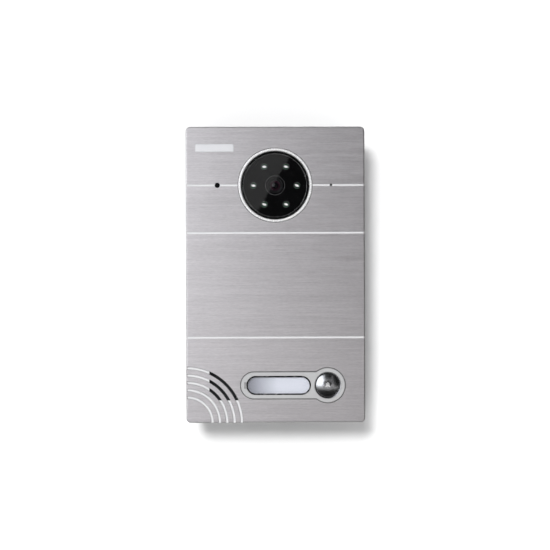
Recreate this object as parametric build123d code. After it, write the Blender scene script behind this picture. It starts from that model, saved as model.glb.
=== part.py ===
from build123d import *
import os

# A one-button video door station: a brushed aluminium front panel with a camera window, a corner
# speaker grille, a name plate and a call button, closed at the back by a plastic case that hangs
# on a steel wall bracket.
#
# Row frame, millimetres: +X to the right and +Z up as a visitor sees the panel. The wall is the
# plane y = 0 and the panel stands out of it towards -Y, so every depth below is a distance from
# the wall. The origin is the middle of the bracket's wall face.

# ---------------------------------------------------------------- driving dimensions
PANEL_W = 116.0
PANEL_H = 192.0
PANEL_CORNER = 3.0
EDGE_ROUND = 0.8

FRONT = 46.0            # brushed face of the panel
FACE_T = 3.0
SKIRT_T = 2.0
SKIRT_BACK = 34.0       # rear edge of the panel's skirt
FACE_BACK = FRONT - FACE_T

CASE_W = 110.0
CASE_H = 186.0
CASE_WALL = 2.0
CASE_CORNER = 2.0
CASE_BACK = 4.0         # outside of the case's back wall
BACK_WALL = 2.2
SEAM = 32.0             # where case and chassis meet
GASKET_T = 0.6
CHASSIS_T = 2.5
CHASSIS_FRONT = FACE_BACK - GASKET_T
CHASSIS_BACK = CHASSIS_FRONT - CHASSIS_T
CASE_INNER = CASE_BACK + BACK_WALL

BOARD_T = 1.6
MAIN_BOARD = 20.0       # rear face of the main board
MAIN_BOARD_FRONT = MAIN_BOARD + BOARD_T

CAM_X, CAM_Z = 0.0, 58.0
RING_R = 24.0
WINDOW_R = 22.2
LED_CIRCLE_R = 14.15
LED_R = 2.0
LED_HOLE_R = 2.3
LED_COUNT = 6
CAMERA_BOARD = 25.6     # rear face of the camera board

SENSOR_X = -37.5
MIC_X = 36.2

GROOVE_W = 1.3
GROOVE_DEPTH = 0.4
GROOVE_HEIGHTS = (58.0, 27.1, -40.7)

ARC_X, ARC_Z = -57.5, -96.0
ARC_FIRST_R = 16.5
ARC_STEP = 4.75
ARC_COUNT = 5
ARC_W = 2.0
ARC_FLOOR_W = 0.7       # the arcs' walls slope in towards a narrower floor
ARC_DEPTH = 0.5
SLOT_LEFT, SLOT_BOTTOM = -43.0, -81.4
SLOT_AREA = 50.0        # the slots stay inside a square of this size, up and right of that corner
SLOTTED_ARCS = 3

SPEAKER_X, SPEAKER_Z = -36.0, -72.5
SPEAKER_R = 15.0
SPEAKER_RIM = CHASSIS_BACK - 0.8
CONE_SEAT = SPEAKER_RIM - 0.8
MAGNET_FRONT = 34.6
TAG_BACK = 36.9         # rear face of the speaker's tag strip
LEAD_SOCKET_Z = -46.0
LEAD_SOCKET_FRONT = 25.6
LEAD_R = 0.4
LEAD_BEND_R = 2.45

NAME_Z = -71.75
TRIM_LEFT = -22.75
TRIM_H = 17.4
TRIM_FRONT = FRONT + 0.5
BUTTON_X = 33.7
TRIM_ROUND_R = 11.3
WINDOW_X = 1.87
NAME_W, NAME_H = 41.8, 12.2
BUTTON_R = 7.6
BUTTON_TOP = 47.0
CAP_BACK = 41.6         # rear face of the button's flange
ICON_R = 3.2
ICON_SEAT = 46.2
SWITCH_TOP = 38.3       # tip of the switch plunger, under the button's stem

BUTTON_BOARD = 32.8     # rear face of the button board

BADGE_X, BADGE_Z = -39.3, 82.2
BADGE_W, BADGE_H = 25.0, 5.0

BAY_Z = -24.0
BAY_W, BAY_H = 68.0, 28.0
BAY_FLOOR = 11.5
JACK_X = 20.0
PLUG_X = -13.0
TERMINAL_WAYS = 8
TERMINAL_PITCH = 3.5

BRACKET_T = 1.5
BRACKET_W, BRACKET_H = 96.0, 168.0
WALL_HOLE_X, WALL_HOLE_Z = 38.0, 60.0
WALL_HOLE_R = 2.3
BOX_HOLE_X = 30.0
BOX_HOLE_R = 2.1
HOOK_Z = 70.0           # upper face of the hooks' arms, which the case hangs on
TONGUE_X = 30.0
TONGUE_W = 14.0
TONGUE_END = 41.5
SECURITY_D = 38.5
TAMPER_Z = 62.0

FIT = 0.05              # radial clearance of sliding and screwed fits

PANEL_SCREWS = [(x, z) for x in (-48.0, 48.0) for z in (74.0, 16.0, -48.0)] + [(0.0, -86.5), (0.0, 86.5)]
CASE_SCREWS = [(-48.0, 86.0), (48.0, 86.0), (-48.0, -10.0), (48.0, -10.0), (-14.0, -86.5), (48.0, -86.5)]
BOARD_SCREWS = [(-36.0, 58.0), (36.0, 58.0), (-36.0, -74.0), (36.0, -74.0)]
CAMERA_POSTS = [(CAM_X + x, CAM_Z + z) for x in (-19.5, 19.5) for z in (-13.0, 13.0)]
BUTTON_POSTS = [(x, NAME_Z + z) for x in (-16.5, 44.5) for z in (-7.5, 7.5)]


# ---------------------------------------------------------------- shared shapes
def layer(outline, near, far):
    """A solid between two distances from the wall. The outline is drawn as (x, z), seen from the front."""
    plane = Plane(origin=(0, -near, 0), x_dir=(1, 0, 0), z_dir=(0, -1, 0))
    return extrude(plane * outline, amount=far - near)


def rounded(x, z, width, height, radius):
    return Pos(x, z) * RectangleRounded(width, height, radius)


def disc(x, z, radius, near, far):
    return layer(Pos(x, z) * Circle(radius), near, far)


def ring(x, z, outer, inner, near, far):
    return layer(Pos(x, z) * (Circle(outer) - Circle(inner)), near, far)


def block(x0, x1, z0, z1, near, far):
    middle = ((x0 + x1) / 2, -(near + far) / 2, (z0 + z1) / 2)
    return Pos(*middle) * Box(x1 - x0, far - near, z1 - z0)


def turned(x, z, profile):
    """A solid of revolution about the line through (x, z), from points of (radius, distance from wall)."""
    plane = Plane(origin=(x, 0, z), x_dir=(1, 0, 0), z_dir=(0, 0, 1))
    face = plane * Polygon(*[(r, -d) for r, d in profile], align=None)
    return revolve(face, axis=Axis((x, 0, z), (0, 1, 0)))


def pilot_holes(places, radius, near, far):
    return [disc(x, z, radius, near, far) for x, z in places]


def screw(x, z, seat, head_r, head_t, shank_r, shank_end):
    """A pan-head screw driven from the back: its head lies on seat and its shank runs on to shank_end."""
    head = turned(x, z, [(0, seat), (head_r, seat), (head_r, seat - 0.6 * head_t),
                         (0.7 * head_r, seat - head_t), (0, seat - head_t)])
    shank = disc(x, z, shank_r, seat, shank_end)
    half_slot = 0.55 * head_r
    slot_w = 0.22 * head_r
    slot_d = 0.55 * head_t
    top = seat - head_t
    cross = (block(x - half_slot, x + half_slot, z - slot_w / 2, z + slot_w / 2, top - 1, top + slot_d)
             + block(x - slot_w / 2, x + slot_w / 2, z - half_slot, z + half_slot, top - 1, top + slot_d))
    return head + shank - cross


def coil_spring(x, z, mean_r, wire_r, near, far, turns):
    """A compression spring whose axis runs towards the wall."""
    height = far - near - 2 * wire_r
    path = Helix(pitch=height / turns, height=height, radius=mean_r)
    wire = sweep(Plane(origin=path @ 0, z_dir=path % 0) * Circle(wire_r), path=path)
    return Pos(x, -near - wire_r, z) * (Rot(90, 0, 0) * wire)


def trim_outline(grow):
    """The keyhole shape shared by the name plate trim and its opening in the panel."""
    right = BUTTON_X + TRIM_H / 2
    width = right - TRIM_LEFT
    pill = Pos((right + TRIM_LEFT) / 2, NAME_Z) * SlotOverall(width + 2 * grow, TRIM_H + 2 * grow)
    return pill + Pos(BUTTON_X, NAME_Z) * Circle(TRIM_ROUND_R + grow)


def name_outline(width, height):
    return Pos(WINDOW_X, NAME_Z) * SlotOverall(width, height)


def arc_band(index):
    radius = ARC_FIRST_R + index * ARC_STEP
    return Pos(ARC_X, ARC_Z) * (Circle(radius + ARC_W / 2) - Circle(radius - ARC_W / 2))


def tongue_blocks(half_width, bottom, top, near, far):
    """A block at each of the two bracket tongues, at the lower edge of the case."""
    return [block(x - half_width, x + half_width, bottom, top, near, far) for x in (-TONGUE_X, TONGUE_X)]


# ---------------------------------------------------------------- front panel
def make_face_plate():
    """Aluminium front: a 3 mm face with a 12 mm skirt, engraved lines and grille arcs, and screw bosses."""
    plate = layer(rounded(0, 0, PANEL_W, PANEL_H, PANEL_CORNER), SKIRT_BACK, FRONT)
    front_edges = plate.faces().sort_by(Axis.Y)[0].edges()
    plate = fillet(front_edges, EDGE_ROUND)
    inner_w, inner_h = PANEL_W - 2 * SKIRT_T, PANEL_H - 2 * SKIRT_T
    plate -= layer(rounded(0, 0, inner_w, inner_h, PANEL_CORNER - SKIRT_T), SKIRT_BACK - 1, FACE_BACK)
    for x, z in PANEL_SCREWS:
        plate += disc(x, z, 3.0, CHASSIS_BACK, FACE_BACK)
    plate -= pilot_holes(PANEL_SCREWS, 1.25 + FIT, CHASSIS_BACK - 1, FRONT - 1.3)

    plate -= disc(CAM_X, CAM_Z, RING_R + 0.25, FACE_BACK - 1, FRONT + 1)
    plate -= disc(SENSOR_X, CAM_Z, 1.7, FACE_BACK - 1, FRONT + 1)
    plate -= disc(MIC_X, CAM_Z, 0.85, FACE_BACK - 1, FRONT + 1)
    plate -= layer(trim_outline(0.35), FACE_BACK - 1, FRONT + 1)
    plate -= layer(rounded(BADGE_X, BADGE_Z, BADGE_W + 0.1, BADGE_H + 0.1, 0.8), FRONT - 0.25, FRONT + 1)

    for height in GROOVE_HEIGHTS:
        line = Pos(0, height) * Rectangle(PANEL_W + 2, GROOVE_W)
        plate -= layer(line, FRONT - GROOVE_DEPTH, FRONT + 1)
    slot_area = Pos(SLOT_LEFT + SLOT_AREA / 2, SLOT_BOTTOM + SLOT_AREA / 2) * Rectangle(SLOT_AREA, SLOT_AREA)
    for index in range(ARC_COUNT):
        radius = ARC_FIRST_R + index * ARC_STEP
        plate -= turned(ARC_X, ARC_Z, [(radius - ARC_W / 2, FRONT), (radius - ARC_FLOOR_W / 2, FRONT - ARC_DEPTH),
                                       (radius + ARC_FLOOR_W / 2, FRONT - ARC_DEPTH), (radius + ARC_W / 2, FRONT),
                                       (radius + ARC_W / 2, FRONT + 1), (radius - ARC_W / 2, FRONT + 1)])
        if index >= ARC_COUNT - SLOTTED_ARCS:
            plate -= layer(arc_band(index) & slot_area, FACE_BACK - 1, FRONT + 1)

    bottom = -PANEL_H / 2
    for x in (-TONGUE_X, TONGUE_X):
        at_screw = Pos(x, -SECURITY_D, bottom)
        plate -= at_screw * Cylinder(1.5 + FIT, 2 * SKIRT_T + 1)
        plate -= at_screw * Pos(0, 0, 0.7) * Cone(2.95, 1.55, 1.4)
        plate -= disc(x, bottom, 0.75, SECURITY_D, FRONT + 1)
    return plate


def make_blank_badge():
    """Plain polished bar in a shallow pocket, where a maker would put a mark."""
    badge = layer(rounded(BADGE_X, BADGE_Z, BADGE_W, BADGE_H, 0.75), FRONT - 0.25, FRONT + 0.1)
    return chamfer(badge.faces().sort_by(Axis.Y)[0].edges(), 0.08)


def make_front_gasket():
    """Foam frame that seals the panel to the chassis all round."""
    return layer(rounded(0, 0, 108, 184, 2) - rounded(0, 0, 103.4, 179.4, 1), CHASSIS_FRONT, FACE_BACK)


def make_chassis_screws():
    return [screw(x, z, CHASSIS_BACK, 3.3, 1.7, 1.25, FRONT - 1.8) for x, z in PANEL_SCREWS]


# ---------------------------------------------------------------- camera
def make_camera_ring():
    """Polished ring with a bevelled mouth; the window sits on its inner ledge."""
    return turned(CAM_X, CAM_Z, [
        (20.5, CHASSIS_FRONT), (RING_R, CHASSIS_FRONT), (RING_R, FRONT + 0.1), (RING_R - 0.25, FRONT + 0.35),
        (RING_R - 0.9, FRONT + 0.35), (22.3, FRONT - 0.35), (22.3, 43.3), (20.5, 43.3)])


def make_window_seal():
    return ring(CAM_X, CAM_Z, 22.1, 20.6, 43.3, 43.6)


def make_camera_window():
    """Smoked disc with a bevelled rim."""
    return turned(CAM_X, CAM_Z, [
        (0, 43.6), (WINDOW_R, 43.6), (WINDOW_R, FRONT - 0.75), (21.1, FRONT - 0.25), (0, FRONT - 0.25)])


def led_places():
    return [(CAM_X + p.X, CAM_Z + p.Y) for p in
            (Vector(LED_CIRCLE_R, 0).rotate(Axis.Z, 360 * i / LED_COUNT) for i in range(LED_COUNT))]


def make_camera_mask():
    """Black disc behind the window with a flared hole for each lamp and a cone round the lens."""
    front, back = CHASSIS_FRONT + 1.0, CHASSIS_FRONT
    mask = disc(CAM_X, CAM_Z, 20.3, back, front)
    mask -= turned(CAM_X, CAM_Z, [(0, back - 1), (5.7, back - 1), (5.7, back), (6.4, front), (6.4, front + 1),
                                  (0, front + 1)])
    for x, z in led_places():
        hole_r = LED_R + FIT
        mask -= turned(x, z, [(0, back - 1), (hole_r, back - 1), (hole_r, back), (LED_HOLE_R, front),
                              (LED_HOLE_R, front + 1), (0, front + 1)])
    return mask


def make_ir_board():
    """Ring board that carries the night lamps, with a pin header down to the camera board."""
    board = ring(CAM_X, CAM_Z, 18.2, 8.6, 37.4, 39.0)
    header = block(CAM_X - 4, CAM_X + 4, CAM_Z - 14.5, CAM_Z - 9.5, CAMERA_BOARD + BOARD_T, 37.4)
    return board + header


def make_ir_leds():
    """Round-nosed lamps standing on the ring board."""
    tip, dome_r = 43.1, 2.05
    lamps = []
    for x, z in led_places():
        dome = disc(x, z, LED_R, tip - dome_r, tip) & (Pos(x, dome_r - tip, z) * Sphere(dome_r))
        lamps.append(disc(x, z, LED_R, 39.0, tip - dome_r) + dome)
    return lamps


def make_lens_barrel():
    """Threaded M12 barrel with a stepped, blackened mouth."""
    return turned(CAM_X, CAM_Z, [
        (3.0, 30.0), (6.0, 30.0), (6.0, 36.5), (5.4, 37.0), (5.4, 42.3), (5.1, 42.6), (4.9, 42.6),
        (4.2, 42.0), (3.4, 41.9), (3.4, 39.4), (3.0, 39.4)])


def make_lens_glass():
    """Domed front element seated on the barrel's shoulder."""
    element = disc(CAM_X, CAM_Z, 3.4 - FIT, 39.4, 41.8)
    return element & (Pos(CAM_X, -(41.8 - 5.0), CAM_Z) * Sphere(5.0))


def make_lens_holder():
    """Square mount on the camera board, bored for the barrel and hollow over the sensor."""
    board_front = CAMERA_BOARD + BOARD_T
    holder = block(CAM_X - 8, CAM_X + 8, CAM_Z - 8, CAM_Z + 8, board_front, 31.0)
    holder += disc(CAM_X, CAM_Z, 7.6, 31.0, 35.5)
    holder -= block(CAM_X - 6.5, CAM_X + 6.5, CAM_Z - 6.5, CAM_Z + 6.5, board_front - 1, 29.5)
    holder -= disc(CAM_X, CAM_Z, 6.0 + FIT, 28, 36)
    return holder


def make_camera_board():
    board = layer(rounded(CAM_X, CAM_Z, 45, 32, 2), CAMERA_BOARD, CAMERA_BOARD + BOARD_T)
    board -= pilot_holes(CAMERA_POSTS, 1.15, CAMERA_BOARD - 1, CAMERA_BOARD + 3)
    connector = block(CAM_X - 7, CAM_X + 7, 43.2, 46.4, CAMERA_BOARD - 1.5, CAMERA_BOARD)
    return board + connector


def make_image_sensor():
    board_front = CAMERA_BOARD + BOARD_T
    return block(CAM_X - 4.5, CAM_X + 4.5, CAM_Z - 4, CAM_Z + 4, board_front, board_front + 1.2)


# ---------------------------------------------------------------- light sensor and microphone
def make_light_pipe():
    flange = disc(SENSOR_X, CAM_Z, 2.8, CHASSIS_BACK - 1.2, CHASSIS_BACK)
    return flange + disc(SENSOR_X, CAM_Z, 1.6, CHASSIS_BACK, FRONT - 0.5)


def make_light_sensor():
    """Small board with a photodiode right behind the light pipe."""
    board = layer(rounded(SENSOR_X, CAM_Z, 8, 15, 1), 36.3, 37.3)
    return board + block(SENSOR_X - 1.6, SENSOR_X + 1.6, CAM_Z - 1.6, CAM_Z + 1.6, 37.3, CHASSIS_BACK - 1.3)


def make_microphone_boot():
    """Rubber cup with a nose that seals the sound hole to the back of the panel."""
    boot = disc(MIC_X, CAM_Z, 4.2, 34.9, CHASSIS_BACK) + disc(MIC_X, CAM_Z, 1.6, CHASSIS_BACK, FACE_BACK)
    boot -= disc(MIC_X, CAM_Z, 3.0, 34.0, CHASSIS_BACK - 0.6)
    boot -= disc(MIC_X, CAM_Z, 0.8, 38, FACE_BACK + 1)
    return boot


def make_microphone():
    return disc(MIC_X, CAM_Z, 3.0 - FIT, 35.2, CHASSIS_BACK - 0.7)


# ---------------------------------------------------------------- speaker
def make_speaker_mesh():
    """Fine mesh glued to the back of the panel, over the grille slots."""
    return layer(rounded(-35.6, -71.5, 25, 27, 3), FACE_BACK - 0.4, FACE_BACK)


def make_speaker_gasket():
    return ring(SPEAKER_X, SPEAKER_Z, SPEAKER_R, 13.2, SPEAKER_RIM, CHASSIS_BACK)


def make_speaker_basket():
    """Pressed steel basket: rim, ledge for the cone, conical wall, magnet seat and a solder tag strip."""
    basket = turned(SPEAKER_X, SPEAKER_Z, [
        (SPEAKER_R, SPEAKER_RIM), (SPEAKER_R, SPEAKER_RIM - 1.4), (12.6, SPEAKER_RIM - 1.4),
        (8.6, MAGNET_FRONT), (0, MAGNET_FRONT), (0, MAGNET_FRONT + 0.6), (8.0, MAGNET_FRONT + 0.6),
        (11.8, CONE_SEAT), (12.8, CONE_SEAT), (12.8, SPEAKER_RIM)])
    top = SPEAKER_Z + SPEAKER_R
    return basket + block(SPEAKER_X - 3.5, SPEAKER_X + 3.5, top - 1.0, top + 2.5, TAG_BACK, CONE_SEAT)


def make_speaker_cone():
    """Paper cone with a rolled surround and a domed dust cap."""
    return turned(SPEAKER_X, SPEAKER_Z, [
        (12.7, CONE_SEAT), (12.7, CONE_SEAT + 0.25), (11.6, CONE_SEAT + 0.65), (10.6, CONE_SEAT + 0.25),
        (4.0, 36.7), (2.6, 37.6), (0, 38.1), (0, 37.8), (2.4, 37.3), (3.8, 36.4),
        (10.6, CONE_SEAT - 0.05), (11.5, CONE_SEAT + 0.3), (12.0, CONE_SEAT)])


def make_speaker_magnet():
    return disc(SPEAKER_X, SPEAKER_Z, 8.0, MAGNET_FRONT - 4.0, MAGNET_FRONT)


# ---------------------------------------------------------------- name plate
def make_name_trim():
    """Satin keyhole-shaped trim that holds the name window and rings the button."""
    trim = layer(trim_outline(0), CHASSIS_FRONT, TRIM_FRONT)
    trim = chamfer(trim.faces().sort_by(Axis.Y)[0].edges(), 0.35)
    trim -= layer(name_outline(NAME_W + 0.2, NAME_H + 0.2), 43.6, TRIM_FRONT + 1)
    trim -= layer(name_outline(38.6, 9.6), CHASSIS_FRONT - 1, 44)
    pry_x = WINDOW_X - NAME_W / 2
    trim -= block(pry_x - 1.2, pry_x + 2, NAME_Z - 2.1, NAME_Z + 2.1, FRONT - 1.6, TRIM_FRONT + 1)
    trim -= disc(BUTTON_X, NAME_Z, 8.8, CHASSIS_FRONT - 1, TRIM_FRONT + 1)
    return trim


def make_name_window():
    """Clear snap-in lens with a bevelled rim."""
    window = layer(name_outline(NAME_W, NAME_H), 44.6, TRIM_FRONT - 0.1)
    return chamfer(window.faces().sort_by(Axis.Y)[0].edges(), 0.9)


def make_name_card():
    return layer(name_outline(NAME_W - 0.4, NAME_H - 0.4), 44.25, 44.55)


def make_name_light_guide():
    """Milky block that spreads the lamp light behind the card."""
    guide = layer(name_outline(NAME_W - 0.2, NAME_H - 0.2), 43.6, 44.25)
    return guide + layer(name_outline(38.2, 9.2), 40.6, 43.6)


# ---------------------------------------------------------------- call button
def make_button_bezel():
    """Polished ring pressed into the trim round the button, with a funnel-shaped mouth."""
    return turned(BUTTON_X, NAME_Z, [
        (7.75, FACE_BACK), (8.75, FACE_BACK), (8.75, FRONT + 0.2), (8.4, FRONT + 0.2), (7.75, FRONT - 0.9)])


def button_dome():
    """The sphere that rounds the button, low enough for its edge to sit below the bezel's rim."""
    rise = 1.6
    dome_r = (BUTTON_R ** 2 + rise ** 2) / (2 * rise)
    return Pos(BUTTON_X, dome_r - BUTTON_TOP, NAME_Z) * Sphere(dome_r)


def make_call_button():
    """Domed cap with a retaining flange and a stem that reaches the switch."""
    cap = disc(BUTTON_X, NAME_Z, BUTTON_R, 41.8, BUTTON_TOP) & button_dome()
    cap += disc(BUTTON_X, NAME_Z, 8.6, CAP_BACK, 42.9)
    cap += disc(BUTTON_X, NAME_Z, 2.5, SWITCH_TOP + FIT, CAP_BACK)
    return cap - disc(BUTTON_X, NAME_Z, ICON_R, ICON_SEAT, BUTTON_TOP + 1)


def make_button_icon():
    """Clear insert that carries the bell picture, set in the top of the cap."""
    return disc(BUTTON_X, NAME_Z, ICON_R - 0.02, ICON_SEAT, BUTTON_TOP) & button_dome()


def make_button_spring():
    return coil_spring(BUTTON_X, NAME_Z, 5.4, 0.25, BUTTON_BOARD + BOARD_T + FIT, CAP_BACK - FIT, 4)


def make_switch_body():
    front = BUTTON_BOARD + BOARD_T
    body = block(BUTTON_X - 3.1, BUTTON_X + 3.1, NAME_Z - 3.1, NAME_Z + 3.1, front, 36.9)
    return body - disc(BUTTON_X, NAME_Z, 1.7 + FIT, front + 0.4, 38)


def make_switch_plunger():
    return disc(BUTTON_X, NAME_Z, 1.7, SWITCH_TOP - 2.3, SWITCH_TOP)


def make_button_board():
    board = layer(rounded(14.0, NAME_Z, 69, 21, 2), BUTTON_BOARD, BUTTON_BOARD + BOARD_T)
    return board - pilot_holes(BUTTON_POSTS, 1.15, BUTTON_BOARD - 1, BUTTON_BOARD + 3)


def make_backlight_leds():
    front = BUTTON_BOARD + BOARD_T
    places = (-11.5, -2.5, 6.5, 15.5)
    return [block(x - 1.75, x + 1.75, NAME_Z - 1.4, NAME_Z + 1.4, front, front + 1.9) for x in places]


def make_small_screws():
    """M2 screws that hold the camera board and the button board on the chassis posts."""
    camera = [screw(x, z, CAMERA_BOARD, 1.9, 1.4, 1.0, 32.5) for x, z in CAMERA_POSTS]
    button = [screw(x, z, BUTTON_BOARD, 1.9, 1.4, 1.0, 38.5) for x, z in BUTTON_POSTS]
    return camera + button


# ---------------------------------------------------------------- chassis
def make_front_chassis():
    """Black plastic tray behind the panel that carries camera, speaker, microphone and button board."""
    inner_w, inner_h = CASE_W - 2 * CASE_WALL, CASE_H - 2 * CASE_WALL
    tray = layer(rounded(0, 0, CASE_W, CASE_H, CASE_CORNER), SEAM, CHASSIS_FRONT)
    tray -= layer(rounded(0, 0, inner_w, inner_h, 1), SEAM - 1, CHASSIS_BACK)
    tray += tongue_blocks(9.6, -92.0, -88.9, SEAM, CHASSIS_FRONT)
    tray -= tongue_blocks(7.6, -95.0, -90.9, SEAM - 1, TONGUE_END + 0.3)
    tray += ring(CAM_X, CAM_Z, 20.0, 18.5, 37.0, CHASSIS_BACK)
    tray += [disc(x, z, 2.5, CAMERA_BOARD + BOARD_T, CHASSIS_BACK) for x, z in CAMERA_POSTS]
    tray += [disc(x, z, 2.2, BUTTON_BOARD + BOARD_T, CHASSIS_BACK) for x, z in BUTTON_POSTS]
    tray += [disc(x, z, 4.0, SEAM, CHASSIS_BACK) for x, z in CASE_SCREWS]
    tray += [disc(SENSOR_X, z, 1.4, 37.3, CHASSIS_BACK) for z in (CAM_Z - 5.2, CAM_Z + 5.2)]
    tray += ring(MIC_X, CAM_Z, 5.3, 4.3, 34.9, CHASSIS_BACK)
    tray += speaker_clips()

    through = (SEAM - 1, CHASSIS_FRONT + 1)
    tray -= disc(CAM_X, CAM_Z, 18.5, 36, through[1])
    tray -= disc(SPEAKER_X, SPEAKER_Z, 13.0, *through)
    tray -= layer(name_outline(38.6, 9.6), *through)
    tray -= disc(BUTTON_X, NAME_Z, 9.0, *through)
    tray -= disc(SENSOR_X, CAM_Z, 1.65, *through)
    tray -= disc(MIC_X, CAM_Z, 1.65, *through)
    tray -= pilot_holes(PANEL_SCREWS, 3.15, *through)
    tray -= pilot_holes(CASE_SCREWS, 1.5 + FIT, SEAM - 1, 38.6)
    tray -= pilot_holes(CAMERA_POSTS, 1.0 + FIT, CAMERA_BOARD, 33)
    tray -= pilot_holes(BUTTON_POSTS, 1.0 + FIT, BUTTON_BOARD, 39)
    tray -= seal_ring(SEAM - 1, SEAM + 0.4)
    return tray


def speaker_clips():
    """Three snap hooks that reach over the rim of the speaker."""
    hook_back = SPEAKER_RIM - 1.45
    clips = []
    for angle in (60, 180, 300):
        turn = Rot(0, 0, angle)
        stem = turn * (Pos(16.15, 0) * Rectangle(1.7, 5))
        hook = turn * (Pos(15.7, 0) * Rectangle(2.6, 5))
        clips.append(layer(Pos(SPEAKER_X, SPEAKER_Z) * stem, hook_back - 1.0, CHASSIS_BACK))
        clips.append(layer(Pos(SPEAKER_X, SPEAKER_Z) * hook, hook_back - 1.0, hook_back))
    return clips


def seal_ring(near, far):
    """The cord-shaped seal in the seam, stepped inwards round the two tongue recesses."""
    outer = layer(rounded(0, 0, 108.6, 184.6, 1.5), near, far)
    outer -= tongue_blocks(8.0, -95, -90.5, near - 1, far + 1)
    inner = layer(rounded(0, 0, 107.2, 183.2, 1.2), near - 1, far + 1)
    inner -= tongue_blocks(8.9, -95, -89.6, near - 2, far + 2)
    return outer - inner


def make_case_seal():
    return seal_ring(SEAM - 0.4, SEAM + 0.4)


# ---------------------------------------------------------------- electronics
def make_main_board():
    board = layer(rounded(0, -5, 82, 150, 2), MAIN_BOARD, MAIN_BOARD_FRONT)
    board -= pilot_holes(BOARD_SCREWS, 1.5, MAIN_BOARD - 1, MAIN_BOARD_FRONT + 1)
    board += block(-7, 7, 30.0, 33.2, MAIN_BOARD_FRONT, MAIN_BOARD_FRONT + 1.5)
    board += block(-40, -32, LEAD_SOCKET_Z - 2, LEAD_SOCKET_Z + 2, MAIN_BOARD_FRONT, LEAD_SOCKET_FRONT)
    return board


def board_screw(x, z):
    """Pan-head screw driven from the front, through the board into a boss of the rear case."""
    top = MAIN_BOARD_FRONT
    head = turned(x, z, [(0, top), (2.6, top), (2.6, top + 1.1), (1.8, top + 1.8), (0, top + 1.8)])
    head -= block(x - 1.4, x + 1.4, z - 0.3, z + 0.3, top + 0.8, top + 3)
    head -= block(x - 0.3, x + 0.3, z - 1.4, z + 1.4, top + 0.8, top + 3)
    return head + disc(x, z, 1.2, 13.0, top)


def make_board_screws():
    return [board_screw(x, z) for x, z in BOARD_SCREWS]


def make_processor_shield():
    shield = block(-13, 17, -14, 16, MAIN_BOARD_FRONT, MAIN_BOARD_FRONT + 2.4)
    return fillet(shield.edges().filter_by(Axis.Y), 1.0)


def make_network_transformer():
    return block(11.5, 28.5, 0, 12, 13.5, MAIN_BOARD)


def make_door_relay():
    return block(-28, -16, 0, 20, 9.5, MAIN_BOARD)


def make_capacitors():
    return [disc(x, z, 3.15, 9.2, MAIN_BOARD) for x, z in ((-4.0, 4.0), (-4.0, 12.0), (4.0, 12.0))]


def make_network_jack():
    """Eight-way network socket that opens to the back, with a notch for the plug's latch."""
    jack = block(JACK_X - 8, JACK_X + 8, BAY_Z - 6.7, BAY_Z + 6.7, 6.0, MAIN_BOARD)
    jack -= block(JACK_X - 5.9, JACK_X + 5.9, BAY_Z - 4.0, BAY_Z + 4.2, 5, 18.0)
    return jack - block(JACK_X - 2.0, JACK_X + 2.0, BAY_Z - 5.6, BAY_Z, 5, 18.0)


def make_jack_contacts():
    """Eight sprung contacts that lean into the socket from its upper wall."""
    contacts = []
    for way in range(8):
        x = JACK_X + (way - 3.5) * 1.02
        contacts.append(block(x - 0.17, x + 0.17, BAY_Z + 3.2, BAY_Z + 3.55, 8.5, 18.0))
    return contacts


def make_terminal_header():
    half_w = TERMINAL_WAYS * TERMINAL_PITCH / 2 + 1.4
    header = block(PLUG_X - half_w, PLUG_X + half_w, BAY_Z - 4.2, BAY_Z + 4.2, 10.5, MAIN_BOARD)
    return header - block(PLUG_X - half_w + 0.9, PLUG_X + half_w - 0.9, BAY_Z - 3.3, BAY_Z + 3.3, 10, 18.5)


def terminal_x(way):
    return PLUG_X + (way - (TERMINAL_WAYS - 1) / 2) * TERMINAL_PITCH


def make_terminal_plug():
    """Pull-off terminal block: wires enter from the back, clamp screws face upwards."""
    half_w = TERMINAL_WAYS * TERMINAL_PITCH / 2 + 0.3
    plug = block(PLUG_X - half_w, PLUG_X + half_w, BAY_Z - 3.1, BAY_Z + 3.1, 10.4, 18.0)
    plug += block(PLUG_X - half_w, PLUG_X + half_w, BAY_Z - 4.6, BAY_Z + 6.2, 3.2, 10.4)
    for way in range(TERMINAL_WAYS):
        x = terminal_x(way)
        plug -= block(x - 1.2, x + 1.2, BAY_Z - 2.6, BAY_Z + 0.6, 2, 9.0)
        plug -= Pos(x, -6.8, BAY_Z + 6.2) * Cylinder(1.3, 3.0)
    return plug


def make_terminal_screws():
    """Slotted clamp screws, sunk in the top of the plug."""
    screws = []
    for way in range(TERMINAL_WAYS):
        at_screw = Pos(terminal_x(way), -6.8, BAY_Z + 5.15)
        slot = Pos(0, 0, 0.5) * Box(3, 0.4, 0.5)
        screws.append(at_screw * (Cylinder(1.25, 0.9) - slot))
    return screws


def make_camera_ribbon():
    """Flat flexible lead from the camera board down to the main board."""
    width, thickness = 10.0, 0.3
    side = Plane(origin=(-width / 2, 0, 0), x_dir=(0, 1, 0), z_dir=(1, 0, 0))
    upper, lower = Vector(-24.6, 43.2), Vector(-22.6, 33.2)
    step = Vector(-thickness, 0)
    return extrude(side * Polygon(upper, lower, lower + step, upper + step, align=None), amount=width)


def make_speaker_leads():
    """Two thin leads from the speaker's tags back and up to their socket on the main board."""
    leads = []
    tag_z = SPEAKER_Z + SPEAKER_R + 1.0
    for x in (SPEAKER_X - 1.2, SPEAKER_X + 1.2):
        points = [(x, -TAG_BACK, tag_z), (x, -32.6, tag_z), (x, -29.9, LEAD_SOCKET_Z),
                  (x, -LEAD_SOCKET_FRONT, LEAD_SOCKET_Z)]
        path = FilletPolyline(*points, radius=LEAD_BEND_R)
        leads.append(sweep(Plane(origin=path @ 0, z_dir=path % 0) * Circle(LEAD_R), path=path))
    return leads


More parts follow.
